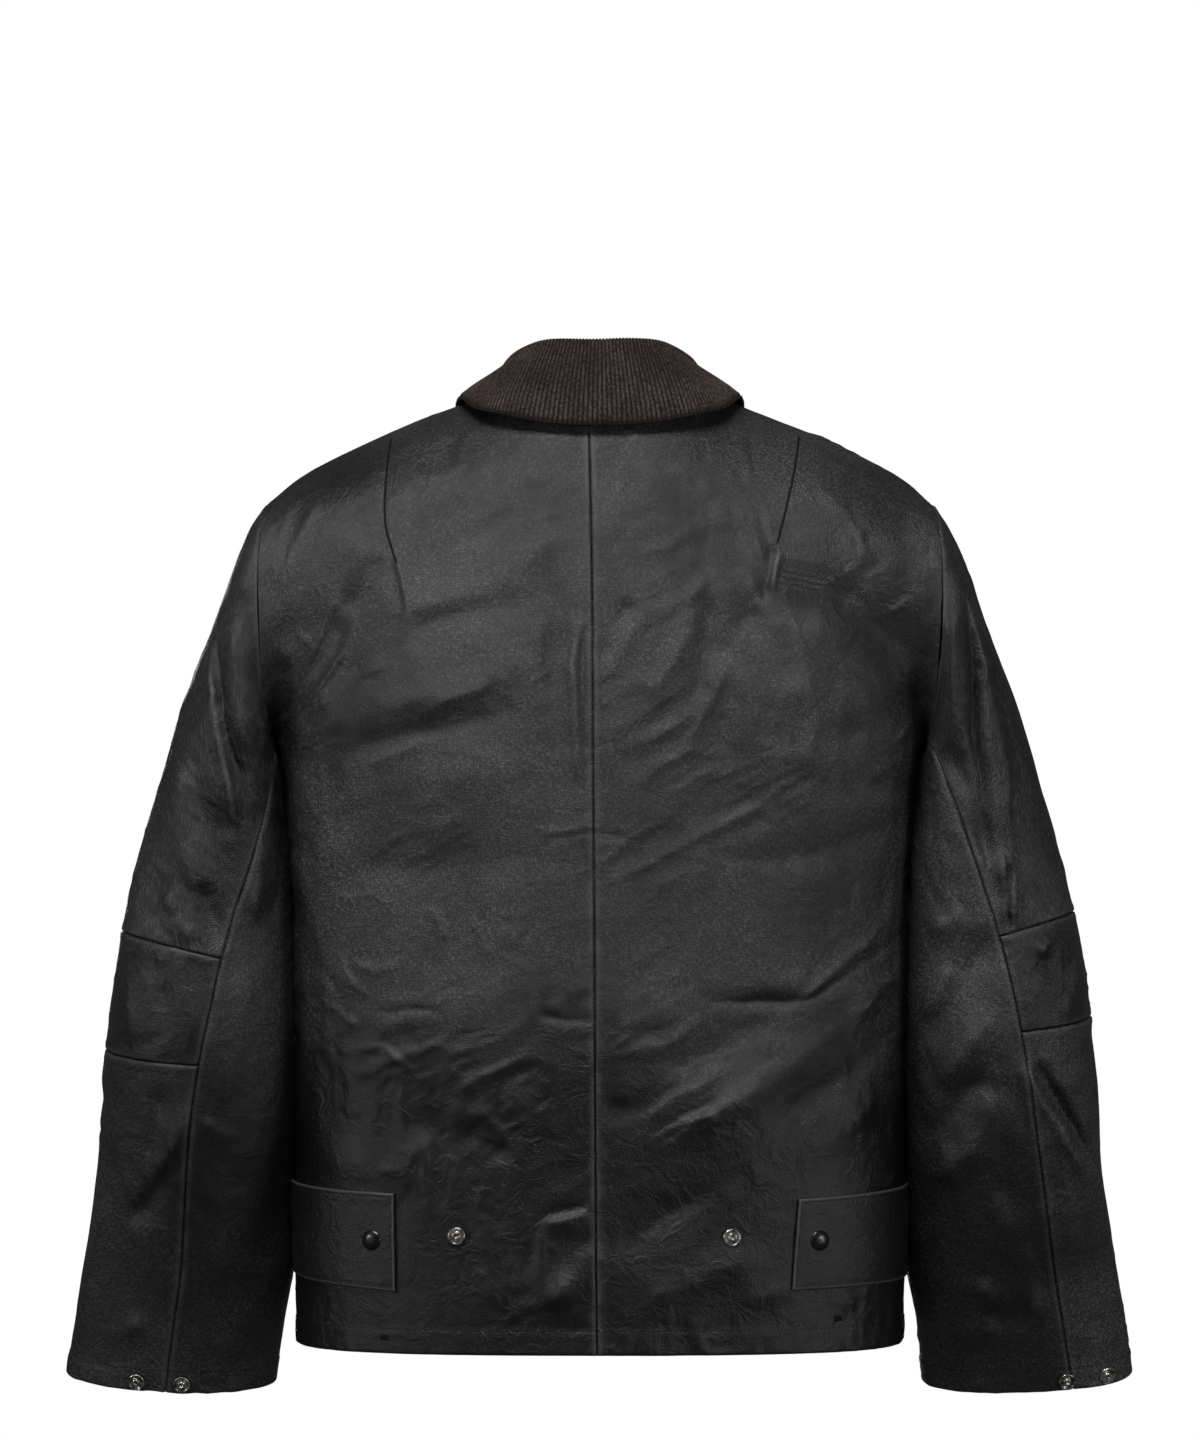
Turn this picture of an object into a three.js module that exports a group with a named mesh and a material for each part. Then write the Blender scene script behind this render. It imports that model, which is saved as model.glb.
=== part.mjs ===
// A waxed cotton jacket in its worn, hollow form: cloth panels with closed walls, a corduroy collar, tabs and snaps.
// Millimetres, +Z up. The back faces -Y, the front faces +Y, +X is the wearer's right. The origin is the neck opening.
import * as THREE from "three";

// Cloth and gaps
const CLOTH = 1.8; // wall of the waxed cotton
const CORDUROY = 2.2; // wall of the collar
const SEAM_GAP = 0.3; // between two pieces at a seam
const ARMHOLE_GAP = 0.5; // between the body and a sleeve
const LAP = 22; // how far each front goes past the middle
const LAP_STEP = 2.8; // how far the lower front lies inside the upper one
const LAP_BEND = { near: 0.115, far: 0.145 }; // where the lower front steps in, as shares of its width
const CHEST_SLOPE = 0.7; // how much the upper front faces up where it steps in
const TAB_LIFT = 1.0; // from the back to the underside of a tab
const SNAP_GAP = 0.3; // from the cloth to the underside of a snap
const SNAP_BEND = 0.05; // how far the cloth bends away from that flat underside

// Body sections below the armhole: height, half width, the side seam's y, depth to the back and to the front
const TORSO = [
  { at: -657, half: 214, side: 8, back: 112, front: 100, square: 0.74 },
  { at: -600, half: 215.5, side: 12, back: 111, front: 101, square: 0.75 },
  { at: -540, half: 217, side: 18, back: 109, front: 102, square: 0.76 },
  { at: -470, half: 218.5, side: 22, back: 107, front: 102, square: 0.78 },
  { at: -400, half: 219, side: 22, back: 106, front: 102, square: 0.8 },
  { at: -340, half: 219.5, side: 18, back: 106, front: 103, square: 0.82 },
  { at: -290, half: 221, side: 10, back: 107, front: 104, square: 0.84 },
  { at: -262, half: 223, side: 4, back: 107.5, front: 104.5, square: 0.85 },
  { at: -240, half: 226, side: 0, back: 108, front: 105, square: 0.86 },
];
// How square a section is: 0.55 would be an ellipse
const FOOT_SQUARE = 0.86; // at the armhole's foot
const MIDDLE_SECTION = { half: 216, side: 10, depth: 108, square: 0.8 }; // the section that spaces the columns evenly
const PANEL_WIDTH = 270; // from the middle line to the side, round the section

// Armhole loop: an upright ellipse, its lower and upper x, and how far its middle stands out
const ARMHOLE = { bottom: -240, top: -66.5, depth: 78, lowX: 226, highX: 233, bulge: 7 };
const NECK = { half: 72, back: 62, front: 64, backZ: 8, sideZ: 14, frontZ: -62, frontCurve: 1.25 };
const NECK_COLUMNS = 5;
const COLUMNS = 14;
// How fast the section at the armhole's foot, and the top line's depth and height, fade over the panel
const FADE = { foot: 3, depth: 4.5, height: 2.5 };
const EDGE_KEEN = { gain: 5, fall: 3 }; // how near to its edge the armhole's depth stays at its foot, and how soon that ends

// Shoulder seam from the neck point to the armhole: x and z
const SHOULDER = [
  { at: 72, z: 14 },
  { at: 101.7, z: 2 },
  { at: 145, z: -14.8 },
  { at: 183, z: -31.8 },
  { at: 212.5, z: -48.7 },
  { at: 233, z: -66.5 },
];
// Middle line of the back and of the front from the armhole's level (0) to the neck seam (1)
const BACK_LINE = [
  { at: 0, y: -108, z: -240 },
  { at: 0.25, y: -109, z: -178 },
  { at: 0.5, y: -104, z: -112 },
  { at: 0.75, y: -89, z: -46 },
  { at: 1, y: -62, z: 8 },
];
const FRONT_LINE = [
  { at: 0, y: 105, z: -240 },
  { at: 0.25, y: 104, z: -197 },
  { at: 0.5, y: 99, z: -152 },
  { at: 0.75, y: 86, z: -107 },
  { at: 1, y: 64, z: -62 },
];
// Centre back seam, which wanders a little: height and x
const CENTRE_SEAM = [
  { at: -657, x: -2 },
  { at: -515, x: -3 },
  { at: -343, x: -3.5 },
  { at: -174, x: -4.5 },
  { at: 8, x: -7 },
];
const LOWER_HEIGHTS = [
  -657, -641, -616, -588, -560, -532, -504, -476, -448, -420, -392, -364, -337, -311, -287, -266, -251,
];
// Places round an armhole in degrees from its lowest point to its highest
const ARMHOLE_TURNS = [0, 8, 16, 24, 34, 46, 60, 75, 90, 105, 120, 136, 152, 166, 180];

// Sleeve rings from the armhole (0) to the cuff (100): outer and inner edge, the inner edge's y, depth behind and before
// the middle, the middle's y, the ring's lean to the front in degrees and how far its back and front stand out sideways.
// The inner edge lies just behind the body's side, so that no light shows between them.
const SLEEVE = [
  { at: 0, ox: 233, oz: -66.5, ix: 226, iz: -240, iy: 0, back: 78, front: 78, y: 0, lean: 0, bulge: 7 },
  { at: 3, ox: 243, oz: -80, ix: 226.6, iz: -245, iy: -5, back: 79, front: 79, y: -1, lean: 0, bulge: 6.5 },
  { at: 8, ox: 254, oz: -104, ix: 224.7, iz: -252, iy: -10, back: 79, front: 78, y: -2, lean: 0, bulge: 6 },
  { at: 14, ox: 265, oz: -134, ix: 223.4, iz: -262, iy: -13, back: 77, front: 76, y: -4, lean: 0, bulge: 5 },
  { at: 20, ox: 277, oz: -165, ix: 221.8, iz: -275, iy: -15, back: 74, front: 72, y: -6, lean: 0, bulge: 4 },
  { at: 27, ox: 290.5, oz: -200, ix: 220.2, iz: -292, iy: -17, back: 70, front: 68, y: -9, lean: 0, bulge: 3 },
  { at: 35, ox: 305, oz: -246, ix: 218.6, iz: -318, iy: -19, back: 66, front: 63, y: -12, lean: 0, bulge: 2 },
  { at: 43, ox: 319.5, oz: -298, ix: 217.4, iz: -350, iy: -21, back: 62, front: 59, y: -15, lean: 0, bulge: 1 },
  { at: 51, ox: 331.8, oz: -346, ix: 216.8, iz: -382, iy: -22, back: 59, front: 56, y: -17, lean: 0, bulge: 0 },
  { at: 57, ox: 339, oz: -382, ix: 216.6, iz: -404, iy: -22, back: 58, front: 54, y: -18, lean: 2, bulge: 0 },
  { at: 63, ox: 344.5, oz: -420, ix: 216.6, iz: -432, iy: -21, back: 57, front: 52, y: -17, lean: 5, bulge: 0 },
  { at: 69, ox: 348.5, oz: -458, ix: 216.9, iz: -462, iy: -17, back: 54, front: 49, y: -14, lean: 8, bulge: 0 },
  { at: 76, ox: 352, oz: -505, ix: 217.2, iz: -505, iy: -10, back: 49, front: 45, y: -6, lean: 11, bulge: 0 },
  { at: 83, ox: 357, oz: -550, ix: 217.6, iz: -550, iy: 5, back: 43, front: 40, y: 7, lean: 14, bulge: 0 },
  { at: 90, ox: 365.5, oz: -600, ix: 217.8, iz: -600, iy: 24, back: 36, front: 34, y: 26, lean: 17, bulge: 0 },
  { at: 95, ox: 373, oz: -643, ix: 225, iz: -645, iy: 40, back: 32, front: 30, y: 40, lean: 18, bulge: 0 },
  { at: 100, ox: 380.3, oz: -684.5, ix: 231.8, iz: -690.5, iy: 54, back: 30, front: 28, y: 54, lean: 18, bulge: 0 },
];
// The back seam of each sleeve, as a turn from the sleeve's outer edge in degrees
const SLEEVE_SEAM = {
  left: [
    { at: 0, turn: 156 },
    { at: 15, turn: 149 },
    { at: 30, turn: 133 },
    { at: 46, turn: 111 },
    { at: 54.5, turn: 103 },
    { at: 61, turn: 98 },
    { at: 67.5, turn: 92 },
    { at: 76, turn: 87 },
    { at: 86, turn: 86 },
    { at: 100, turn: 88 },
  ],
  right: [
    { at: 0, turn: 156 },
    { at: 12, turn: 136 },
    { at: 25, turn: 119 },
    { at: 34, turn: 107 },
    { at: 42, turn: 97 },
    { at: 52, turn: 88 },
    { at: 63.5, turn: 79 },
    { at: 75, turn: 71.5 },
    { at: 85, turn: 67 },
    { at: 100, turn: 66 },
  ],
};
const FRONT_SEAM_TURN = 134; // the hidden seam, on the front of both sleeves
// Where each elbow panel starts and ends along the sleeve
const ELBOW = { left: { from: 54.5, to: 67.7 }, right: { from: 52.2, to: 64 } };
const FIRST_RINGS = [0, 2.2, 5.5]; // close together where the sleeve turns down from the armhole
const GAP_FADE = 10; // the armhole's gap fades out over this length of the sleeve
const UPPER_RINGS = 11;
const ELBOW_RINGS = 3;
const FOREARM_RINGS = 8;

// The largest folds, as x and z on the back: a trough has a negative height
const BACK_FOLDS = [
  { x0: -148, z0: -30, x1: -146, z1: -100, wide: 9, high: -3 },
  { x0: -144, z0: -105, x1: -139, z1: -155, wide: 12, high: 4.5 },
  { x0: 138, z0: -30, x1: 126, z1: -90, wide: 9, high: -3 },
  { x0: 124, z0: -92, x1: 115, z1: -142, wide: 12, high: 4.5 },
  { x0: -16, z0: -135, x1: -20, z1: -260, wide: 13, high: 3.5 },
  { x0: -221, z0: -222, x1: -182, z1: -128, wide: 13, high: 4.5 },
  { x0: -207, z0: -228, x1: -160, z1: -160, wide: 12, high: -4 },
  { x0: 214, z0: -222, x1: 175, z1: -135, wide: 14, high: -4 },
  { x0: 205, z0: -262, x1: 120, z1: -330, wide: 20, high: 4 },
  { x0: -200, z0: -300, x1: -70, z1: -240, wide: 22, high: 4 },
  { x0: -190, z0: -380, x1: -60, z1: -330, wide: 20, high: -4 },
  { x0: 190, z0: -420, x1: 60, z1: -350, wide: 22, high: -4 },
  { x0: 200, z0: -470, x1: 80, z1: -520, wide: 22, high: 4 },
  { x0: -195, z0: -470, x1: -80, z1: -500, wide: 22, high: 4 },
  { x0: -264, z0: -140, x1: -250, z1: -270, wide: 14, high: -5 },
  { x0: -279, z0: -165, x1: -266, z1: -300, wide: 13, high: 4 },
  { x0: 256, z0: -125, x1: 268, z1: -330, wide: 13, high: -5 },
  { x0: 268, z0: -150, x1: 287, z1: -315, wide: 13, high: 5 },
  { x0: 299, z0: -447, x1: 349, z1: -540, wide: 13, high: -5.5 },
  { x0: 283, z0: -465, x1: 335, z1: -560, wide: 13, high: 4 },
  { x0: -290, z0: -520, x1: -336, z1: -580, wide: 14, high: -4.5 },
  { x0: -300, z0: -400, x1: -335, z1: -395, wide: 13, high: 4 },
  { x0: -240, z0: -440, x1: -270, z1: -540, wide: 14, high: 3.5 },
  { x0: 240, z0: -470, x1: 262, z1: -580, wide: 14, high: 3.5 },
];
// Folds of the same kinds on the front, which the photograph hides
const FRONT_FOLDS = [
  { x0: -215, z0: -222, x1: -165, z1: -150, wide: 14, high: -4 },
  { x0: 215, z0: -222, x1: 168, z1: -145, wide: 14, high: -4 },
  { x0: -190, z0: -330, x1: -90, z1: -290, wide: 20, high: 4 },
  { x0: 190, z0: -380, x1: 80, z1: -330, wide: 20, high: 4 },
  { x0: -190, z0: -480, x1: -80, z1: -520, wide: 22, high: -4 },
  { x0: 190, z0: -520, x1: 90, z1: -490, wide: 22, high: -4 },
  { x0: -300, z0: -360, x1: -250, z1: -400, wide: 14, high: -5 },
  { x0: -325, z0: -430, x1: -255, z1: -430, wide: 14, high: -5 },
  { x0: 300, z0: -365, x1: 250, z1: -405, wide: 14, high: -5 },
  { x0: 325, z0: -440, x1: 255, z1: -430, wide: 14, high: -5 },
];
const FOLD_FADE = 30; // folds fade out over this depth towards the sides
const FOLD_END = 0.6; // how much slower a fold fades past its ends than beside it

// Collar: the fold's outer line and the fall's edge, by columns from the middle of the back to the front
const COLLAR_FOLD = [
  { at: 0, x: 0, y: -64, z: 47 },
  { at: 2, x: 29, y: -61, z: 47 },
  { at: 3, x: 44, y: -52, z: 45.5 },
  { at: 4, x: 57, y: -33, z: 40 },
  { at: 5, x: 65, y: -4, z: 33 },
  { at: 6, x: 64, y: 20, z: 21 },
  { at: 8, x: 49, y: 56, z: -9 },
  { at: 10, x: 19, y: 76, z: -42 },
];
const COLLAR_EDGE = [
  { at: 0, x: 0, y: -86, z: -15 },
  { at: 1, x: 22, y: -85, z: -14.5 },
  { at: 2, x: 44, y: -82, z: -12 },
  { at: 3, x: 67, y: -74, z: -7 },
  { at: 4, x: 88, y: -50, z: -1 },
  { at: 5, x: 100, y: -14, z: 8.5 },
  { at: 6, x: 103, y: 24, z: 2 },
  { at: 8, x: 89, y: 80, z: -48 },
  { at: 10, x: 58, y: 105, z: -98 },
];
const COLLAR_FOLD_RADIUS = 4.6;
const COLLAR_COLUMNS = 10;
const COLLAR_FOLD_TURNS = [0, 50, 90, 130, 180];
const COLLAR_END = 9.4; // the last column stops short of the middle of the front
const FALL_ROWS = 4;
const FALL_BOW = 3; // how far the fall stands out between its fold and its edge
const COLLAR_LIFT = 1.1; // from the neck seam up to the stand
const COLLAR_SET_IN = 0.7; // from the neck seam in to the stand
const COLLAR_INSIDE = { y: 60, z: -10 }; // from the fall to a point inside the collar

// Tabs, by their corners as x and z on the back
const TABS = {
  left: { top: { x: -141, z: -546 }, bottom: { x: -142, z: -614 }, sideTop: -542, sideBottom: -607 },
  right: { top: { x: 136, z: -550 }, bottom: { x: 133, z: -613 }, sideTop: -544, sideBottom: -610 },
};
const TAB_SIDE = 0.91; // the share of the panel's width where a tab starts
const TAB_COLUMNS = 7;
const TAB_ROWS = 4;

// Snaps: radius and height, and where each sits
const CAP = { radius: 7, rim: 1, high: 2.6, crown: 0.62, crownHigh: 0.85 };
const STUD = { radius: 6.2, rim: 1.6, high: 2.2, lip: 0.95, well: 0.55, wellHigh: 0.8, post: 0.4 };
const TAB_CAPS = { tab_cap_left: [-157, -579], tab_cap_right: [151, -579] };
const BACK_STUDS = { stud_left: [-99, -575], stud_right: [91, -576] };
const CUFF_STUDS = {
  cuff_stud_left_1: ["left", 71],
  cuff_stud_left_2: ["left", 96],
  cuff_stud_right_1: ["right", 69],
  cuff_stud_right_2: ["right", 42],
};
const CUFF_STUD_AT = 99.2; // along the sleeve
const FRONT_SNAP_HEIGHTS = [-100, -195, -290, -385, -480, -575];
const SNAP_SIDES = 14;
// Searches for a place on the cloth: their steps, and how far a share or a turn moves it in one step
const SEARCH = { steps: 80, across: 300, turn: 200 };
const STEP = { across: 0.004, height: 1, turn: 0.01, round: 0.05 }; // small steps that give a direction
const SAME_POINT = 200; // points closer than a 200th of a millimetre are one

const waxedCotton = new THREE.MeshStandardMaterial({ name: "waxed_cotton", color: 0x24262a, roughness: 0.55 });
const corduroy = new THREE.MeshStandardMaterial({ name: "corduroy", color: 0x3a2c28, roughness: 0.95 });
const darkSnap = new THREE.MeshStandardMaterial({ name: "dark_snap", color: 0x2b2a29, roughness: 0.35, metalness: 1 });
const brightSnap = new THREE.MeshStandardMaterial({ name: "bright_snap", color: 0x9a958c, roughness: 0.3, metalness: 1 });

const group = new THREE.Group();
const radians = THREE.MathUtils.degToRad;
const lerp = THREE.MathUtils.lerp;

// A smooth value from a table with the column `at`.
function read(table, column, at) {
  const last = table.length - 1;
  const place = THREE.MathUtils.clamp(at, table[0].at, table[last].at);
  let i = 0;
  while (i < last - 1 && table[i + 1].at < place) i += 1;
  const slope = (k) => {
    const before = table[Math.max(k - 1, 0)];
    const after = table[Math.min(k + 1, last)];
    return (after[column] - before[column]) / (after.at - before.at);
  };
  const span = table[i + 1].at - table[i].at;
  const s = (place - table[i].at) / span;
  const rise = table[i + 1][column] - table[i][column];
  const a = slope(i) * span;
  const b = slope(i + 1) * span;
  return table[i][column] + a * s + (3 * rise - 2 * a - b) * s * s + (a + b - 2 * rise) * s * s * s;
}

// Height of the folds at a place, seen square on from behind or from the front.
function foldHeight(folds, x, z) {
  let sum = 0;
  for (const f of folds) {
    const dx = f.x1 - f.x0;
    const dz = f.z1 - f.z0;
    const length = Math.hypot(dx, dz);
    const along = ((x - f.x0) * dx + (z - f.z0) * dz) / length;
    const aside = ((x - f.x0) * dz - (z - f.z0) * dx) / length;
    const past = Math.max(0, -along, along - length);
    sum += f.high * Math.exp(-(aside * aside + FOLD_END * past * past) / (f.wide * f.wide));
  }
  return sum;
}

// Moves a point along Y by the folds, which fade out towards a form's sides.
function folded(point, middleY) {
  const off = point.y - middleY;
  const share = THREE.MathUtils.smoothstep(Math.abs(off), 0, FOLD_FADE);
  if (off < 0) point.y -= share * foldHeight(BACK_FOLDS, point.x, point.z);
  else point.y += share * foldHeight(FRONT_FOLDS, point.x, point.z);
  return point;
}

// A quarter section from the middle to the side, by the share of its length.
function quarter(half, side, depth, square) {
  const reach = depth + side;
  return (t) => {
    const s = 1 - t;
    const x = 3 * s * s * t * square * half + 3 * s * t * t * half + t * t * t * half;
    const y = -depth * (s * s * s + 3 * s * s * t) + 3 * s * t * t * (side - square * reach) + t * t * t * side;
    return [x, y];
  };
}
const EVEN_STEPS = 200;
const evenTurns = (() => {
  const { half, side, depth, square } = MIDDLE_SECTION;
  const section = quarter(half, side, depth, square);
  const lengths = [0];
  for (let k = 1; k <= EVEN_STEPS; k += 1) {
    const [x0, y0] = section((k - 1) / EVEN_STEPS);
    const [x1, y1] = section(k / EVEN_STEPS);
    lengths.push(lengths[k - 1] + Math.hypot(x1 - x0, y1 - y0));
  }
  return lengths.map((length) => length / lengths[EVEN_STEPS]);
})();
function evenly(share) {
  let k = 0;
  while (k < EVEN_STEPS - 1 && evenTurns[k + 1] < share) k += 1;
  return (k + (share - evenTurns[k]) / (evenTurns[k + 1] - evenTurns[k])) / EVEN_STEPS;
}

// A point of the armhole loop, by its turn from the lowest point. `face` is -1 behind and 1 before.
function armholePoint(face, turn) {
  const up = (1 - Math.cos(turn)) / 2;
  const out = Math.sin(turn);
  return new THREE.Vector3(
    lerp(ARMHOLE.lowX, ARMHOLE.highX, up) + ARMHOLE.bulge * out,
    face * ARMHOLE.depth * out,
    lerp(ARMHOLE.bottom, ARMHOLE.top, up),
  );
}

// The neck seam and then the shoulder seam, by the share of the panel's width.
function topLine(face, share) {
  const neck = NECK_COLUMNS / COLUMNS;
  if (share > neck) {
    const x = lerp(NECK.half, ARMHOLE.highX, (share - neck) / (1 - neck));
    return new THREE.Vector3(x, 0, read(SHOULDER, "z", x));
  }
  const turn = (share / neck) * (Math.PI / 2);
  const cos = Math.cos(turn);
  const x = NECK.half * Math.sin(turn);
  if (face < 0) return new THREE.Vector3(x, -NECK.back * cos, NECK.sideZ - (NECK.sideZ - NECK.backZ) * cos * cos);
  return new THREE.Vector3(x, NECK.front * cos, NECK.sideZ - (NECK.sideZ - NECK.frontZ) * Math.pow(cos, NECK.frontCurve));
}

// A point of the body without folds. `across` runs from -1 to 1; `up` is a height below the armhole, or a turn above it.
function torsoForm(face, across, level) {
  const share = Math.abs(across);
  const sign = across < 0 ? -1 : 1;
  const depthColumn = face < 0 ? "back" : "front";
  if (level.turn === undefined) {
    const size = (column) => read(TORSO, column, level.z);
    const section = quarter(size("half"), -face * size("side"), size(depthColumn), size("square"));
    const [x, y] = section(evenly(share));
    return new THREE.Vector3(sign * x, -face * y, level.z);
  }
  const v = level.turn / Math.PI;
  const line = face < 0 ? BACK_LINE : FRONT_LINE;
  const edge = armholePoint(face, level.turn);
  const footDepth = Math.abs(line[0].y);
  const [footX, footY] = quarter(ARMHOLE.lowX, 0, footDepth, FOOT_SQUARE)(evenly(share));
  const top = topLine(face, share);
  const topMiddle = topLine(face, 0);
  const topEnd = topLine(face, 1);
  // How far a point has come from the middle to the edge in depth, at the armhole's foot and at the top, and in height
  const depthShare = lerp(1 + footY / footDepth, 1 - top.y / topMiddle.y, Math.pow(v, FADE.depth));
  const edgeShare = Math.pow(Math.max(depthShare, 0), 1 + EDGE_KEEN.gain * Math.pow(1 - v, EDGE_KEEN.fall));
  const heightShare = share * share * (2 - share);
  const footSide = (footX - share * ARMHOLE.lowX) * Math.pow(1 - v * v, FADE.foot);
  const topRise = (top.z - lerp(topMiddle.z, topEnd.z, heightShare)) * Math.pow(v, FADE.height);
  return new THREE.Vector3(
    sign * (share * edge.x + footSide + (top.x - share * ARMHOLE.highX) * v),
    read(line, "y", v) * (1 - depthShare) + edge.y * edgeShare,
    lerp(read(line, "z", v), edge.z, heightShare) + topRise,
  );
}
function torsoPoint(face, across, level) {
  return folded(torsoForm(face, across, level), 0);
}

const LEVELS = [
  ...LOWER_HEIGHTS.map((z) => ({ z })),
  ...ARMHOLE_TURNS.map((degrees) => ({ turn: radians(degrees) })),
];

// The body's level and share across at a place on one face, found by stepping closer.
function placeOnBody(face, x, z) {
  let across = x / ARMHOLE.lowX;
  let height = z;
  for (let k = 0; k < SEARCH.steps; k += 1) {
    const point = torsoPoint(face, across, { z: height });
    across += (x - point.x) / SEARCH.across;
    height += z - point.z;
  }
  return { across, level: { z: height } };
}

// A sleeve's ring point by its turn from the outer edge, positive behind and negative before.
function sleevePoint(side, along, turn) {
  const value = (column) => read(SLEEVE, column, along);
  const out = Math.sin(turn);
  const reach = (1 - Math.cos(turn)) / 2;
  const depth = out > 0 ? value("back") : value("front");
  const lean = radians(value("lean"));
  const point = new THREE.Vector3(
    lerp(value("ox"), value("ix"), reach) + value("bulge") * Math.abs(out),
    lerp(value("y"), value("iy"), reach * reach) - depth * out * Math.cos(lean),
    lerp(value("oz"), value("iz"), reach) - depth * out * Math.sin(lean),
  );
  point.x += ARMHOLE_GAP * THREE.MathUtils.clamp(1 - along / GAP_FADE, 0, 1);
  if (side === "left") point.x *= -1;
  return folded(point, value("y"));
}

// Sheets are gathered first, so that neighbours at a seam share one direction for their walls.
const sheets = [];
const directions = new Map();
const fixedDirections = new Map();
const keyOf = (p) => [p.x, p.y, p.z].map((value) => Math.round(value * SAME_POINT)).join();

function addSheet(name, rows, inside, thickness, material) {
  const middleRow = rows[Math.floor(rows.length / 2)];
  const i = Math.floor(rows.length / 2) - 1;
  const j = Math.floor(middleRow.length / 2) - 1;
  const cell = cellDirection(rows, Math.max(i, 0), Math.max(j, 0));
  const turned = cell.dot(rows[Math.max(i, 0)][Math.max(j, 0)].clone().sub(inside)) < 0;
  const ordered = turned ? rows.map((row) => [...row].reverse()) : rows;
  for (let r = 0; r + 1 < ordered.length; r += 1)
    for (let c = 0; c + 1 < ordered[r].length; c += 1) {
      const direction = cellDirection(ordered, r, c);
      for (const p of [ordered[r][c], ordered[r][c + 1], ordered[r + 1][c], ordered[r + 1][c + 1]]) {
        const key = keyOf(p);
        if (!directions.has(key)) directions.set(key, new THREE.Vector3());
        directions.get(key).add(direction);
      }
    }
  sheets.push({ name, rows: ordered, thickness, material });
}
function cellDirection(rows, r, c) {
  const across = rows[r + 1][c + 1].clone().sub(rows[r][c]);
  const other = rows[r + 1][c].clone().sub(rows[r][c + 1]);
  return across.cross(other).normalize();
}

// Turns a sheet into one closed wall, drawn in from its edges by half the seam gap.
function makeWall({ name, rows, thickness, material }) {
  const count = rows.length;
  const wide = rows[0].length;
  const outer = [];
  const inner = [];
  for (let r = 0; r < count; r += 1)
    for (let c = 0; c < wide; c += 1) {
      const point = rows[r][c].clone();
      const key = keyOf(point);
      const direction = (fixedDirections.get(key) ?? directions.get(key)).clone().normalize();
      const inwards = new THREE.Vector3();
      if (c === 0) inwards.add(rows[r][1].clone().sub(rows[r][0]).normalize());
      if (c === wide - 1) inwards.add(rows[r][c - 1].clone().sub(rows[r][c]).normalize());
      if (r === 0) inwards.add(rows[1][c].clone().sub(rows[0][c]).normalize());
      if (r === count - 1) inwards.add(rows[r - 1][c].clone().sub(rows[r][c]).normalize());
      point.addScaledVector(inwards, SEAM_GAP / 2);
      outer.push(point);
      inner.push(point.clone().addScaledVector(direction, -thickness));
    }
  const triangles = [];
  const id = (r, c) => r * wide + c;
  const under = count * wide;
  for (let r = 0; r + 1 < count; r += 1)
    for (let c = 0; c + 1 < wide; c += 1) {
      const [a, b, d, e] = [id(r, c), id(r, c + 1), id(r + 1, c + 1), id(r + 1, c)];
      triangles.push([a, b, d], [a, d, e], [under + a, under + d, under + b], [under + a, under + e, under + d]);
    }
  const rim = [];
  for (let c = 0; c < wide; c += 1) rim.push(id(0, c));
  for (let r = 1; r < count; r += 1) rim.push(id(r, wide - 1));
  for (let c = wide - 2; c >= 0; c -= 1) rim.push(id(count - 1, c));
  for (let r = count - 2; r > 0; r -= 1) rim.push(id(r, 0));
  rim.forEach((a, k) => {
    const b = rim[(k + 1) % rim.length];
    // Neighbours at a seam split their end faces the same way, from the higher corner.
    if (outer[a].z > outer[b].z) triangles.push([a, under + a, under + b], [a, under + b, b]);
    else triangles.push([a, under + a, b], [under + a, under + b, b]);
  });
  addSolid(name, [...outer, ...inner], triangles, material);
}

function addSolid(name, points, triangles, material) {
  let volume = 0;
  for (const [a, b, c] of triangles) volume += points[a].dot(points[b].clone().cross(points[c]));
  const index = triangles.flatMap(([a, b, c]) => (volume < 0 ? [a, c, b] : [a, b, c]));
  const geometry = new THREE.BufferGeometry();
  geometry.setAttribute("position", new THREE.Float32BufferAttribute(points.flatMap((p) => [p.x, p.y, p.z]), 3));
  geometry.setIndex(index);
  geometry.computeVertexNormals();
  const mesh = new THREE.Mesh(geometry, material);
  mesh.name = name;
  group.add(mesh);
}

// Body panels
function bodyRows(face, acrossOf) {
  return LEVELS.map((level) => acrossOf(level).map((across) => torsoPoint(face, across, level)));
}
const shares = Array.from({ length: COLUMNS }, (_, k) => (k + 1) / COLUMNS);
const levelZ = (level) => torsoForm(-1, 0, level).z;
const seamShare = (level) => read(CENTRE_SEAM, "x", levelZ(level)) / PANEL_WIDTH;
const lapShare = LAP / PANEL_WIDTH;
const inBody = new THREE.Vector3(0, 0, -330);

addSheet("back_right", bodyRows(-1, (level) => [seamShare(level), ...shares]), inBody, CLOTH, waxedCotton);
addSheet("back_left", bodyRows(-1, (level) => [seamShare(level), ...shares.map((s) => -s)]), inBody, CLOTH, waxedCotton);
addSheet("front_right", bodyRows(1, () => [-lapShare, 0, ...shares]), inBody, CLOTH, waxedCotton);
// The lower front lies inside the upper one where they lap.
const lowerFront = LEVELS.map((level) =>
  [lapShare, 0, -LAP_BEND.near, -LAP_BEND.far, ...shares.slice(2).map((s) => -s)].map((across) => {
    const point = torsoPoint(1, across, level);
    const share = THREE.MathUtils.smoothstep(across, -LAP_BEND.far, -LAP_BEND.near);
    const inward = new THREE.Vector3(-point.x, -point.y, level.turn === undefined ? 0 : -point.y * CHEST_SLOPE).normalize();
    return point.addScaledVector(inward, share * LAP_STEP);
  }),
);
addSheet("front_left", lowerFront, inBody, CLOTH, waxedCotton);

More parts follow.
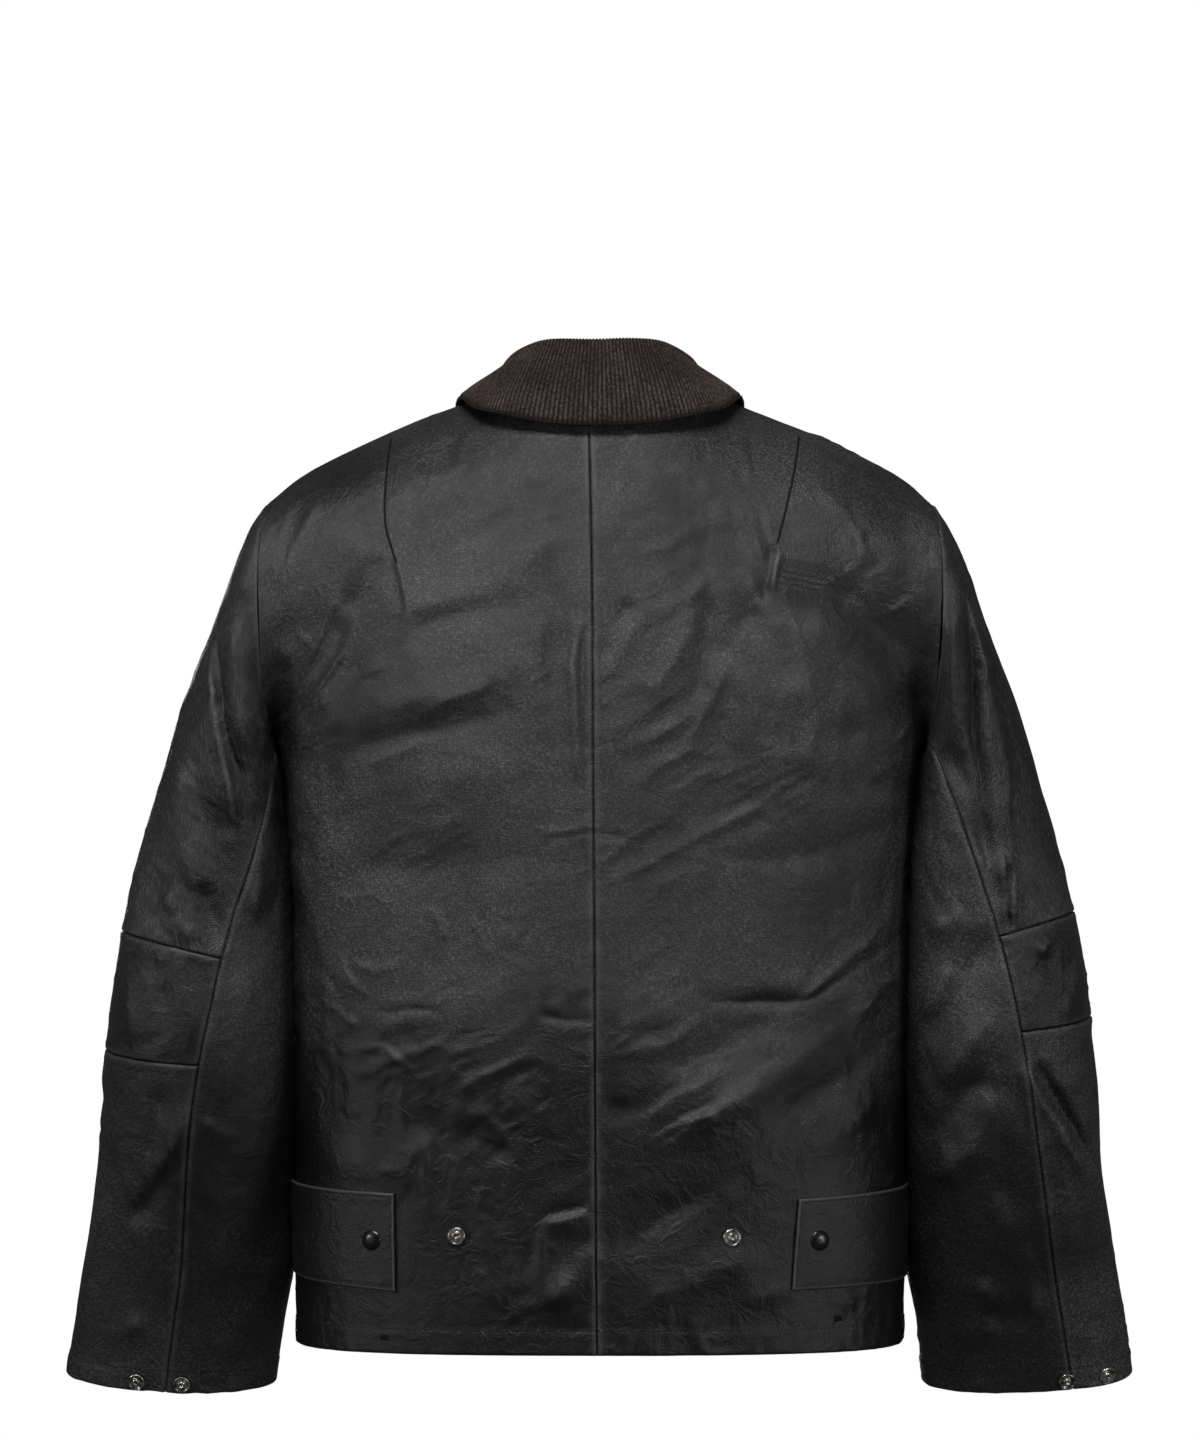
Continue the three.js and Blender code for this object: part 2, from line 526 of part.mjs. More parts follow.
// Sleeves: columns run round from the front seam by the outer edge to the back seam, and on to the front seam again
function sleeveTurns(side, along) {
  const firstSeam = SLEEVE_SEAM[side][0].turn;
  const first = radians(180 - ARMHOLE_TURNS.reduce((best, t) =>
    Math.abs(180 - t - firstSeam) < Math.abs(180 - best - firstSeam) ? t : best));
  const seam = radians(read(SLEEVE_SEAM[side], "turn", along));
  const front = radians(FRONT_SEAM_TURN);
  const behind = ARMHOLE_TURNS.map((t) => Math.PI - radians(t));
  const before = ARMHOLE_TURNS.map((t) => -(Math.PI - radians(t)));
  const all = [...before, ...behind.reverse().slice(1)];
  const close = 1e-6;
  const top = all.filter((t) => t >= -front - close && t <= first + close);
  const under = [
    ...all.filter((t) => t >= first - close),
    ...all.filter((t) => t > -Math.PI + close && t <= -front + close).map((t) => t + 2 * Math.PI),
  ];
  const onTop = top.map((t) => (t <= 0 ? t : (t * seam) / first));
  const end = 2 * Math.PI - front;
  const onUnder = under.map((t) => lerp(seam, end, (t - first) / (end - first)));
  return { top: onTop, under: onUnder };
}
function stops(from, to, count) {
  return Array.from({ length: count + 1 }, (_, k) => lerp(from, to, k / count));
}
for (const side of ["left", "right"]) {
  const { from, to } = ELBOW[side];
  const parts = [
    ["sleeve_upper_" + side, [...FIRST_RINGS, ...stops(FIRST_RINGS[2], from, UPPER_RINGS - 2).slice(1)]],
    ["elbow_" + side, stops(from, to, ELBOW_RINGS)],
    ["forearm_" + side, stops(to, 100, FOREARM_RINGS)],
  ];
  const all = [...parts[0][1], ...parts[1][1].slice(1), ...parts[2][1].slice(1)];
  const inSleeve = (along) => sleevePoint(side, along, 0).lerp(sleevePoint(side, along, Math.PI), 0.5);
  for (const [name, rings] of parts) {
    const rows = rings.map((along) => sleeveTurns(side, along).top.map((turn) => sleevePoint(side, along, turn)));
    addSheet(name, rows, inSleeve(rings[Math.floor(rings.length / 2)]), CLOTH, waxedCotton);
  }
  const under = all.map((along) => sleeveTurns(side, along).under.map((turn) => sleevePoint(side, along, turn)));
  addSheet("undersleeve_" + side, under, inSleeve(all[Math.floor(all.length / 2)]), CLOTH, waxedCotton);
}

// At the armholes the walls end in the loop's own plane, on the body and on the sleeves.
const halfHeight = (ARMHOLE.top - ARMHOLE.bottom) / 2;
for (const sign of [-1, 1])
  for (const face of [-1, 1])
    for (const degrees of ARMHOLE_TURNS) {
      const turn = radians(degrees);
      const loop = armholePoint(face, turn);
      const direction = new THREE.Vector3(0, face * Math.sin(turn) * halfHeight, -Math.cos(turn) * ARMHOLE.depth).normalize();
      for (const gap of [0, ARMHOLE_GAP]) {
        const point = new THREE.Vector3(loop.x + gap, loop.y, loop.z);
        point.x *= sign;
        fixedDirections.set(keyOf(folded(point, 0)), direction);
      }
    }

// Collar: each column runs up the fall, over the fold and down the stand to the neck seam
function collarRow(column) {
  const across = Math.abs(column);
  const sign = column < 0 ? -1 : 1;
  const fold = new THREE.Vector3(...["x", "y", "z"].map((axis) => read(COLLAR_FOLD, axis, across)));
  const edge = new THREE.Vector3(...["x", "y", "z"].map((axis) => read(COLLAR_EDGE, axis, across)));
  const isBack = across <= NECK_COLUMNS;
  const neck = topLine(isBack ? -1 : 1, (isBack ? across : 2 * NECK_COLUMNS - across) / COLUMNS);
  const outward = new THREE.Vector3(fold.x, fold.y, 0).normalize();
  neck.addScaledVector(outward, -CORDUROY - COLLAR_SET_IN).z += COLLAR_LIFT;
  const middle = fold.clone();
  middle.z -= COLLAR_FOLD_RADIUS;
  const foldOut = middle.clone().addScaledVector(outward, COLLAR_FOLD_RADIUS);
  const foldIn = middle.clone().addScaledVector(outward, -COLLAR_FOLD_RADIUS);
  const row = [];
  for (let k = 0; k < FALL_ROWS; k += 1) {
    const share = k / FALL_ROWS;
    const bow = FALL_BOW * Math.sin(Math.PI * share);
    row.push(edge.clone().lerp(foldOut, share).addScaledVector(outward, bow));
  }
  for (const turn of COLLAR_FOLD_TURNS) {
    const angle = radians(turn);
    const point = middle.clone().addScaledVector(outward, Math.cos(angle) * COLLAR_FOLD_RADIUS);
    point.z += Math.sin(angle) * COLLAR_FOLD_RADIUS;
    row.push(point);
  }
  row.push(foldIn.clone().lerp(neck, 0.5), neck);
  for (const point of row) point.x *= sign;
  // The stand's lower end is level all round.
  fixedDirections.set(keyOf(neck), new THREE.Vector3(-outward.x * sign, -outward.y, 0));
  return row;
}
const collarRows = [];
for (let column = -COLLAR_COLUMNS; column <= COLLAR_COLUMNS; column += 1)
  collarRows.push(collarRow(THREE.MathUtils.clamp(column, -COLLAR_END, COLLAR_END)));
const aboveFall = collarRows[COLLAR_COLUMNS][1];
const inCollar = new THREE.Vector3(aboveFall.x, aboveFall.y + COLLAR_INSIDE.y, aboveFall.z + COLLAR_INSIDE.z);
addSheet("collar", collarRows, inCollar, CORDUROY, corduroy);

// Tabs lie on the back, so their points are the back's, moved out along its own direction.
function bodyNormal(face, across, level) {
  const up = { z: level.z + STEP.height };
  const a = torsoPoint(face, across + STEP.across, level).sub(torsoPoint(face, across - STEP.across, level));
  const b = torsoPoint(face, across, up).sub(torsoPoint(face, across, level));
  const normal = a.cross(b).normalize();
  return normal.y * face < 0 ? normal.negate() : normal;
}
function onBody(face, across, level, lift) {
  return torsoPoint(face, across, level).addScaledVector(bodyNormal(face, across, level), lift);
}
for (const side of ["left", "right"]) {
  const tab = TABS[side];
  const sign = side === "left" ? -1 : 1;
  const rows = [];
  for (let r = 0; r <= TAB_ROWS; r += 1) {
    const rise = r / TAB_ROWS;
    const end = placeOnBody(-1, lerp(tab.bottom.x, tab.top.x, rise), -580);
    const row = [];
    for (let c = 0; c <= TAB_COLUMNS; c += 1) {
      const share = c / TAB_COLUMNS;
      const across = lerp(sign * TAB_SIDE, end.across, share);
      const low = lerp(tab.sideBottom, tab.bottom.z, share);
      const high = lerp(tab.sideTop, tab.top.z, share);
      row.push(onBody(-1, across, { z: lerp(low, high, rise) }, TAB_LIFT + CLOTH));
    }
    rows.push(row);
  }
  addSheet("tab_" + side, rows, new THREE.Vector3(0, 0, -580), CLOTH, waxedCotton);
}
for (const sheet of sheets) makeWall(sheet);

// A turned piece on a place of the cloth.
function addSnap(name, profile, place, normal, material) {
  const points = [];
  const triangles = [];
  const frame = new THREE.Quaternion().setFromUnitVectors(new THREE.Vector3(0, 0, 1), normal);
  const put = (x, y, z) => points.push(new THREE.Vector3(x, y, z).applyQuaternion(frame).add(place)) - 1;
  const rings = profile.slice(1, -1).map(([radius, height]) =>
    Array.from({ length: SNAP_SIDES }, (_, k) => {
      const angle = (2 * Math.PI * k) / SNAP_SIDES;
      return put(radius * Math.cos(angle), radius * Math.sin(angle), height);
    }),
  );
  const low = put(0, 0, profile[0][1]);
  const high = put(0, 0, profile[profile.length - 1][1]);
  for (let k = 0; k < SNAP_SIDES; k += 1) {
    const next = (k + 1) % SNAP_SIDES;
    triangles.push([low, rings[0][next], rings[0][k]]);
    for (let r = 0; r + 1 < rings.length; r += 1) {
      triangles.push([rings[r][k], rings[r][next], rings[r + 1][next]], [rings[r][k], rings[r + 1][next], rings[r + 1][k]]);
    }
    const end = rings[rings.length - 1];
    triangles.push([high, end[k], end[next]]);
  }
  addSolid(name, points, triangles, material);
}
const capProfile = [
  [0, 0],
  [CAP.radius, 0],
  [CAP.radius, CAP.rim],
  [CAP.radius * CAP.crown, CAP.high * CAP.crownHigh],
  [0, CAP.high],
];
const studProfile = [
  [0, 0],
  [STUD.radius, 0],
  [STUD.radius * STUD.lip, STUD.rim],
  [STUD.radius * STUD.well, STUD.rim * STUD.wellHigh],
  [STUD.radius * STUD.post, STUD.high],
  [0, STUD.high],
];
const snapLift = SNAP_GAP + SNAP_BEND;
for (const [name, [x, z]] of Object.entries(TAB_CAPS)) {
  const { across, level } = placeOnBody(-1, x, z);
  const place = onBody(-1, across, level, TAB_LIFT + CLOTH + snapLift);
  addSnap(name, capProfile, place, bodyNormal(-1, across, level), darkSnap);
}
for (const [name, [x, z]] of Object.entries(BACK_STUDS)) {
  const { across, level } = placeOnBody(-1, x, z);
  addSnap(name, studProfile, onBody(-1, across, level, snapLift), bodyNormal(-1, across, level), brightSnap);
}
FRONT_SNAP_HEIGHTS.forEach((z, k) => {
  const level = z > ARMHOLE.bottom ? { turn: frontTurn(z) } : { z };
  const place = torsoPoint(1, 0, level);
  const above = torsoPoint(1, 0, level.z === undefined ? { turn: level.turn + STEP.turn } : { z: z + STEP.height });
  const climb = above.sub(place).normalize();
  const normal = new THREE.Vector3(1, 0, 0).cross(climb).negate().normalize();
  if (normal.y < 0) normal.negate();
  addSnap("front_snap_" + (k + 1), capProfile, place.addScaledVector(normal, snapLift), normal, darkSnap);
});
function frontTurn(z) {
  let turn = Math.PI / 2;
  for (let k = 0; k < SEARCH.steps; k += 1) turn += (z - read(FRONT_LINE, "z", turn / Math.PI)) / SEARCH.turn;
  return turn;
}
for (const [name, [side, degrees]] of Object.entries(CUFF_STUDS)) {
  const turn = radians(degrees);
  const place = sleevePoint(side, CUFF_STUD_AT, turn);
  const round = sleevePoint(side, CUFF_STUD_AT, turn + STEP.round).sub(sleevePoint(side, CUFF_STUD_AT, turn - STEP.round));
  const lower = sleevePoint(side, CUFF_STUD_AT + STEP.height, turn);
  const down = lower.sub(sleevePoint(side, CUFF_STUD_AT - STEP.height, turn));
  const normal = round.cross(down).normalize();
  if (normal.y > 0) normal.negate();
  addSnap(name, studProfile, place.addScaledVector(normal, snapLift), normal, brightSnap);
}

export default group;
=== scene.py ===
"""A waxed cotton jacket, hollow as it is worn.

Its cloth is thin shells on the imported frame's form, with a corduroy collar, tabs, snaps and sewing.
Sizes are in millimetres until a mesh is placed. The back faces -Y, +X is the wearer's right and +Z is up.
"""

from __future__ import annotations

import logging
import math
from dataclasses import dataclass, field
from enum import Enum
from typing import Callable

import bmesh
import bpy
import numpy as np
from mathutils import Matrix, Vector

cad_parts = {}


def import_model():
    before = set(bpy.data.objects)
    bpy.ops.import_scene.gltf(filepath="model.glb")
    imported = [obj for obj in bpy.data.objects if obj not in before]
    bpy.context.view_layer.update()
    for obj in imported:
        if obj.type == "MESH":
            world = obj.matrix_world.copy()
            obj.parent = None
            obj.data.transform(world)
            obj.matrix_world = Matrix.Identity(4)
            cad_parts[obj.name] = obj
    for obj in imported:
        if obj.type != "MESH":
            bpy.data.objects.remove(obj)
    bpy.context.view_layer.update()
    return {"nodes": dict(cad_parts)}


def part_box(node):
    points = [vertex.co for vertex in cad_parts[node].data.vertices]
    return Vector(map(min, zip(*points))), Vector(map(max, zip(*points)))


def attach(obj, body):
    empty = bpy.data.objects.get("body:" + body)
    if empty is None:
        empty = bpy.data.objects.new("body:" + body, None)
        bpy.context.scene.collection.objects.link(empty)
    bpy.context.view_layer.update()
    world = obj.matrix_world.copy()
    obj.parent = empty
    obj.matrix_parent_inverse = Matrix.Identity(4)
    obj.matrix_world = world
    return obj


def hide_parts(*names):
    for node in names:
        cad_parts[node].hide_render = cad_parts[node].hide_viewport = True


LOG = logging.getLogger("jacket")
MM = 0.001
Array = np.ndarray

Colour = tuple[float, float, float]
Port = tuple[bpy.types.Node, str | int]

# Walls, and how the fronts lap
CLOTH = 1.5
CORDUROY = 1.9
LAP = 22.0
LAP_STEP = 2.8
LAP_BEND = (-0.145, -0.115)
CHEST_SLOPE = 0.7
PANEL_WIDTH = 270.0
# How square the sections are, and the section that spaces the columns evenly
FOOT_SQUARE = 0.86
MIDDLE_SECTION = (216.0, 10.0, 108.0, 0.8)
TURN_STEPS = 201
# The armhole's gap, and how its form fades over the body
EDGE_KEEN = 5.0
ARMHOLE_GAP = 0.5
GAP_FADE = 10.0
FADE_FOOT = 3.0
FADE_DEPTH = 4.5
FADE_HEIGHT = 2.5
# Where folds fade out beside a form's middle, and how deep they are
FOLD_FADE = 30.0
FOLD_STRENGTH = 1.5
SLEEVE_DEPTH = 1.5


class Side(Enum):
    """A side of the jacket, by the sign of its x."""

    LEFT = -1
    RIGHT = 1


class Face(Enum):
    """The back or the front of the body, by the sign of its y."""

    BACK = -1
    FRONT = 1


class Shape(Enum):
    """How a fold's cross section looks."""

    SOFT = "soft"
    CREST = "crest"
    CREASE = "crease"


class Sewn(Enum):
    """How an edge of a panel is finished."""

    SEAM = "seam"
    SIDE = "side"
    HEM = "hem"
    COVERED = "covered"


@dataclass(frozen=True)
class Table:
    """Rows of sizes along one measure, which are read smoothly between the rows."""

    columns: tuple[str, ...]
    rows: tuple[tuple[float, ...], ...]

    def read(self, column: str, at: Array | float) -> Array:
        """Reads one size.

        Args:
            column: the size's name.
            at: places along the measure.

        Returns:
            The size at each place.
        """
        data = np.array(self.rows, float)
        place = data[:, 0]
        value = data[:, self.columns.index(column)]
        last = len(place) - 1
        before = np.maximum(np.arange(last + 1) - 1, 0)
        after = np.minimum(np.arange(last + 1) + 1, last)
        slope = (value[after] - value[before]) / (place[after] - place[before])
        where = np.clip(np.asarray(at, float), place[0], place[last])
        i = np.clip(np.searchsorted(place, where, side="left") - 1, 0, last - 1)
        span = place[i + 1] - place[i]
        s = (where - place[i]) / span
        rise = value[i + 1] - value[i]
        a = slope[i] * span
        b = slope[i + 1] * span
        return value[i] + a * s + (3 * rise - 2 * a - b) * s**2 + (a + b - 2 * rise) * s**3


TORSO = Table(
    ("at", "half", "side", "back", "front", "square"),
    (
        (-657, 214, 8, 112, 100, 0.74),
        (-600, 215.5, 12, 111, 101, 0.75),
        (-540, 217, 18, 109, 102, 0.76),
        (-470, 218.5, 22, 107, 102, 0.78),
        (-400, 219, 22, 106, 102, 0.8),
        (-340, 219.5, 18, 106, 103, 0.82),
        (-290, 221, 10, 107, 104, 0.84),
        (-262, 223, 4, 107.5, 104.5, 0.85),
        (-240, 226, 0, 108, 105, 0.86),
    ),
)
HEM_Z = -657.0
ARMHOLE_BOTTOM = -240.0
ARMHOLE_TOP = -66.5
ARMHOLE_DEPTH = 78.0
ARMHOLE_LOW_X = 226.0
ARMHOLE_HIGH_X = 233.0
ARMHOLE_BULGE = 7.0
NECK_HALF = 72.0
NECK_DEPTH = {Face.BACK: -62.0, Face.FRONT: 64.0}
NECK_SIDE_Z = 14.0
NECK_MIDDLE_Z = {Face.BACK: 8.0, Face.FRONT: -62.0}
NECK_CURVE = {Face.BACK: 2.0, Face.FRONT: 1.25}
NECK_SHARE = 5 / 14
SHOULDER = Table(
    ("x", "z"),
    ((72, 14), (101.7, 2), (145, -14.8), (183, -31.8), (212.5, -48.7), (233, -66.5)),
)
BACK_LINE = Table(
    ("at", "y", "z"),
    ((0, -108, -240), (0.25, -109, -178), (0.5, -104, -112), (0.75, -89, -46), (1, -62, 8)),
)
FRONT_LINE = Table(
    ("at", "y", "z"),
    ((0, 105, -240), (0.25, 104, -197), (0.5, 99, -152), (0.75, 86, -107), (1, 64, -62)),
)
CENTRE_SEAM = Table(("z", "x"), ((-657, -2), (-515, -3), (-343, -3.5), (-174, -4.5), (8, -7)))

SLEEVE = Table(
    ("at", "ox", "oz", "ix", "iz", "iy", "back", "front", "y", "lean", "bulge"),
    (
        (0, 233, -66.5, 226, -240, 0, 78, 78, 0, 0, 7),
        (3, 243, -80, 225.4, -245, -5, 79, 79, -1, 0, 6.5),
        (8, 254, -104, 223.3, -252, -10, 79, 78, -2, 0, 6),
        (14, 265, -134, 222.2, -262, -13, 77, 76, -4, 0, 5),
        (20, 277, -165, 221.8, -275, -15, 74, 72, -6, 0, 4),
        (27, 290.5, -200, 220.2, -292, -17, 70, 68, -9, 0, 3),
        (35, 305, -246, 218.6, -318, -19, 66, 63, -12, 0, 2),
        (43, 319.5, -298, 217.4, -350, -21, 62, 59, -15, 0, 1),
        (51, 331.8, -346, 216.8, -382, -22, 59, 56, -17, 0, 0),
        (57, 339, -382, 216.2, -404, -22, 58, 54, -18, 2, 0),
        (63, 344.5, -420, 215.8, -432, -21, 57, 52, -17, 5, 0),
        (69, 348.5, -458, 214.9, -462, -17, 54, 49, -14, 8, 0),
        (76, 352, -505, 215.1, -505, -10, 49, 45, -6, 11, 0),
        (83, 357, -550, 215.4, -550, 5, 43, 40, 7, 14, 0),
        (90, 365.5, -600, 216.5, -600, 24, 36, 34, 26, 17, 0),
        (95, 373, -643, 225, -645, 40, 32, 30, 40, 18, 0),
        (100, 380.3, -684.5, 231.8, -690.5, 54, 30, 28, 54, 18, 0),
    ),
)
SLEEVE_SEAM = {
    Side.LEFT: Table(
        ("at", "turn"),
        (
            *((0, 156), (15, 149), (30, 133), (46, 111), (54.5, 103)),
            *((61, 98), (67.5, 92), (76, 87), (86, 86), (100, 88)),
        ),
    ),
    Side.RIGHT: Table(
        ("at", "turn"),
        (
            *((0, 156), (12, 136), (25, 119), (34, 107), (42, 97)),
            *((52, 88), (63.5, 79), (75, 71.5), (85, 67), (100, 66)),
        ),
    ),
}
FRONT_SEAM_TURN = 134.0
ELBOW = {Side.LEFT: (54.5, 67.7), Side.RIGHT: (52.2, 64.0)}

COLLAR_FOLD = Table(
    ("at", "x", "y", "z"),
    (
        (0, 0, -64, 47),
        (2, 29, -61, 47),
        (3, 44, -52, 45.5),
        (4, 57, -33, 40),
        (5, 65, -4, 33),
        (6, 64, 20, 21),
        (8, 49, 56, -9),
        (10, 19, 76, -42),
    ),
)
COLLAR_EDGE = Table(
    ("at", "x", "y", "z"),
    (
        (0, 0, -86, -15),
        (1, 22, -85, -14.5),
        (2, 44, -82, -12),
        (3, 67, -74, -7),
        (4, 88, -50, -1),
        (5, 100, -14, 8.5),
        (6, 103, 24, 2),
        (8, 89, 80, -48),
        (10, 58, 105, -98),
    ),
)
COLLAR_END = 9.4


def smooth(value: Array, low: float, high: float) -> Array:
    """Rises softly from 0 at low to 1 at high."""
    s = np.clip((value - low) / (high - low), 0, 1)
    return s * s * (3 - 2 * s)


def grain(points: Array, size: float, seed: int) -> Array:
    """Soft noise from -1 to 1.

    Args:
        points: places, with the axes last.
        size: the size of its cells, in the unit of the places.
        seed: which pattern.

    Returns:
        One value for each place.
    """
    place = points / size + seed * 17.31
    cell = np.floor(place).astype(np.int64)
    part = place - cell
    part = part**3 * (part * (part * 6 - 15) + 10)
    total = np.zeros(points.shape[:-1])
    axes = points.shape[-1]
    primes = (73856093, 19349663, 83492791)
    for corner in range(2**axes):
        weight = np.ones(points.shape[:-1])
        mixed = np.full(points.shape[:-1], seed * 2654435761, np.int64)
        for axis in range(axes):
            bit = (corner >> axis) & 1
            weight = weight * (part[..., axis] if bit else 1 - part[..., axis])
            mixed = mixed ^ ((cell[..., axis] + bit) * primes[axis])
        mixed = (mixed ^ (mixed >> 13)) * 1274126177
        mixed = (mixed ^ (mixed >> 16)) & 0xFFFF
        total += weight * (mixed / 32767.5 - 1)
    return total


@dataclass(frozen=True)
class Fold:
    """A fold on the cloth, along a line of places seen square on from behind or from the front."""

    shape: Shape
    wide: float
    high: float
    line: tuple[tuple[float, float], ...]

    def path(self) -> Array:
        """The line with soft bends between its places."""
        at = np.arange(len(self.line), dtype=float)
        rows = tuple((k, x, z) for k, (x, z) in enumerate(self.line))
        soft = Table(("at", "x", "z"), rows)
        fine = np.linspace(0, at[-1], 6 * (len(rows) - 1) + 1)
        return np.stack([soft.read("x", fine), soft.read("z", fine)], 1)

    def height(self, x: Array, z: Array) -> Array:
        """How far the fold stands out at each place."""
        reach = 5 * self.wide
        path = self.path()
        low, high = path.min(0) - reach, path.max(0) + reach
        near = (x > low[0]) & (x < high[0]) & (z > low[1]) & (z < high[1])
        result = np.zeros(x.shape)
        if not near.any():
            return result
        place = np.stack([x[near], z[near]], 1)[:, None, :]
        start, step = path[:-1], path[1:] - path[:-1]
        length = np.hypot(step[:, 0], step[:, 1])
        along = np.clip(((place - start) * step).sum(2) / length**2, 0, 1)
        away = place - (start + along[..., None] * step)
        distance = np.hypot(away[..., 0], away[..., 1])
        best = distance.argmin(1)
        rows = np.arange(len(best))
        side = np.sign(away[rows, best, 0] * step[best, 1] - away[rows, best, 1] * step[best, 0])
        s = side * distance[rows, best] / self.wide
        ends = np.concatenate([[0], np.cumsum(length)])
        share = (ends[best] + along[rows, best] * length[best]) / ends[-1]
        if self.shape is Shape.SOFT:
            form = 0.5 * np.exp(-(s**2)) + 0.5 * np.exp(0.3 - np.sqrt(2.4 * s**2 + 0.09))
        elif self.shape is Shape.CREST:
            lean = np.where(s < 0, 1.5 * s, 0.55 * s)
            form = np.exp(0.12 - np.sqrt(lean**2 * 2.2 + 0.0144))
        else:
            form = np.exp(0.12 - np.sqrt(1.1 * s**2 + 0.0144)) - 0.25 * np.exp(-0.3 * (np.abs(s) - 2) ** 2)
        ends_fade = smooth(share, -0.05, 0.25) * smooth(1 - share, -0.05, 0.25)
        phase = path[0, 0] * 0.37 + path[0, 1] * 0.11
        uneven = 0.85 + 0.25 * np.sin(7 * share + phase)
        result[near] = self.high * form * ends_fade * uneven
        return result


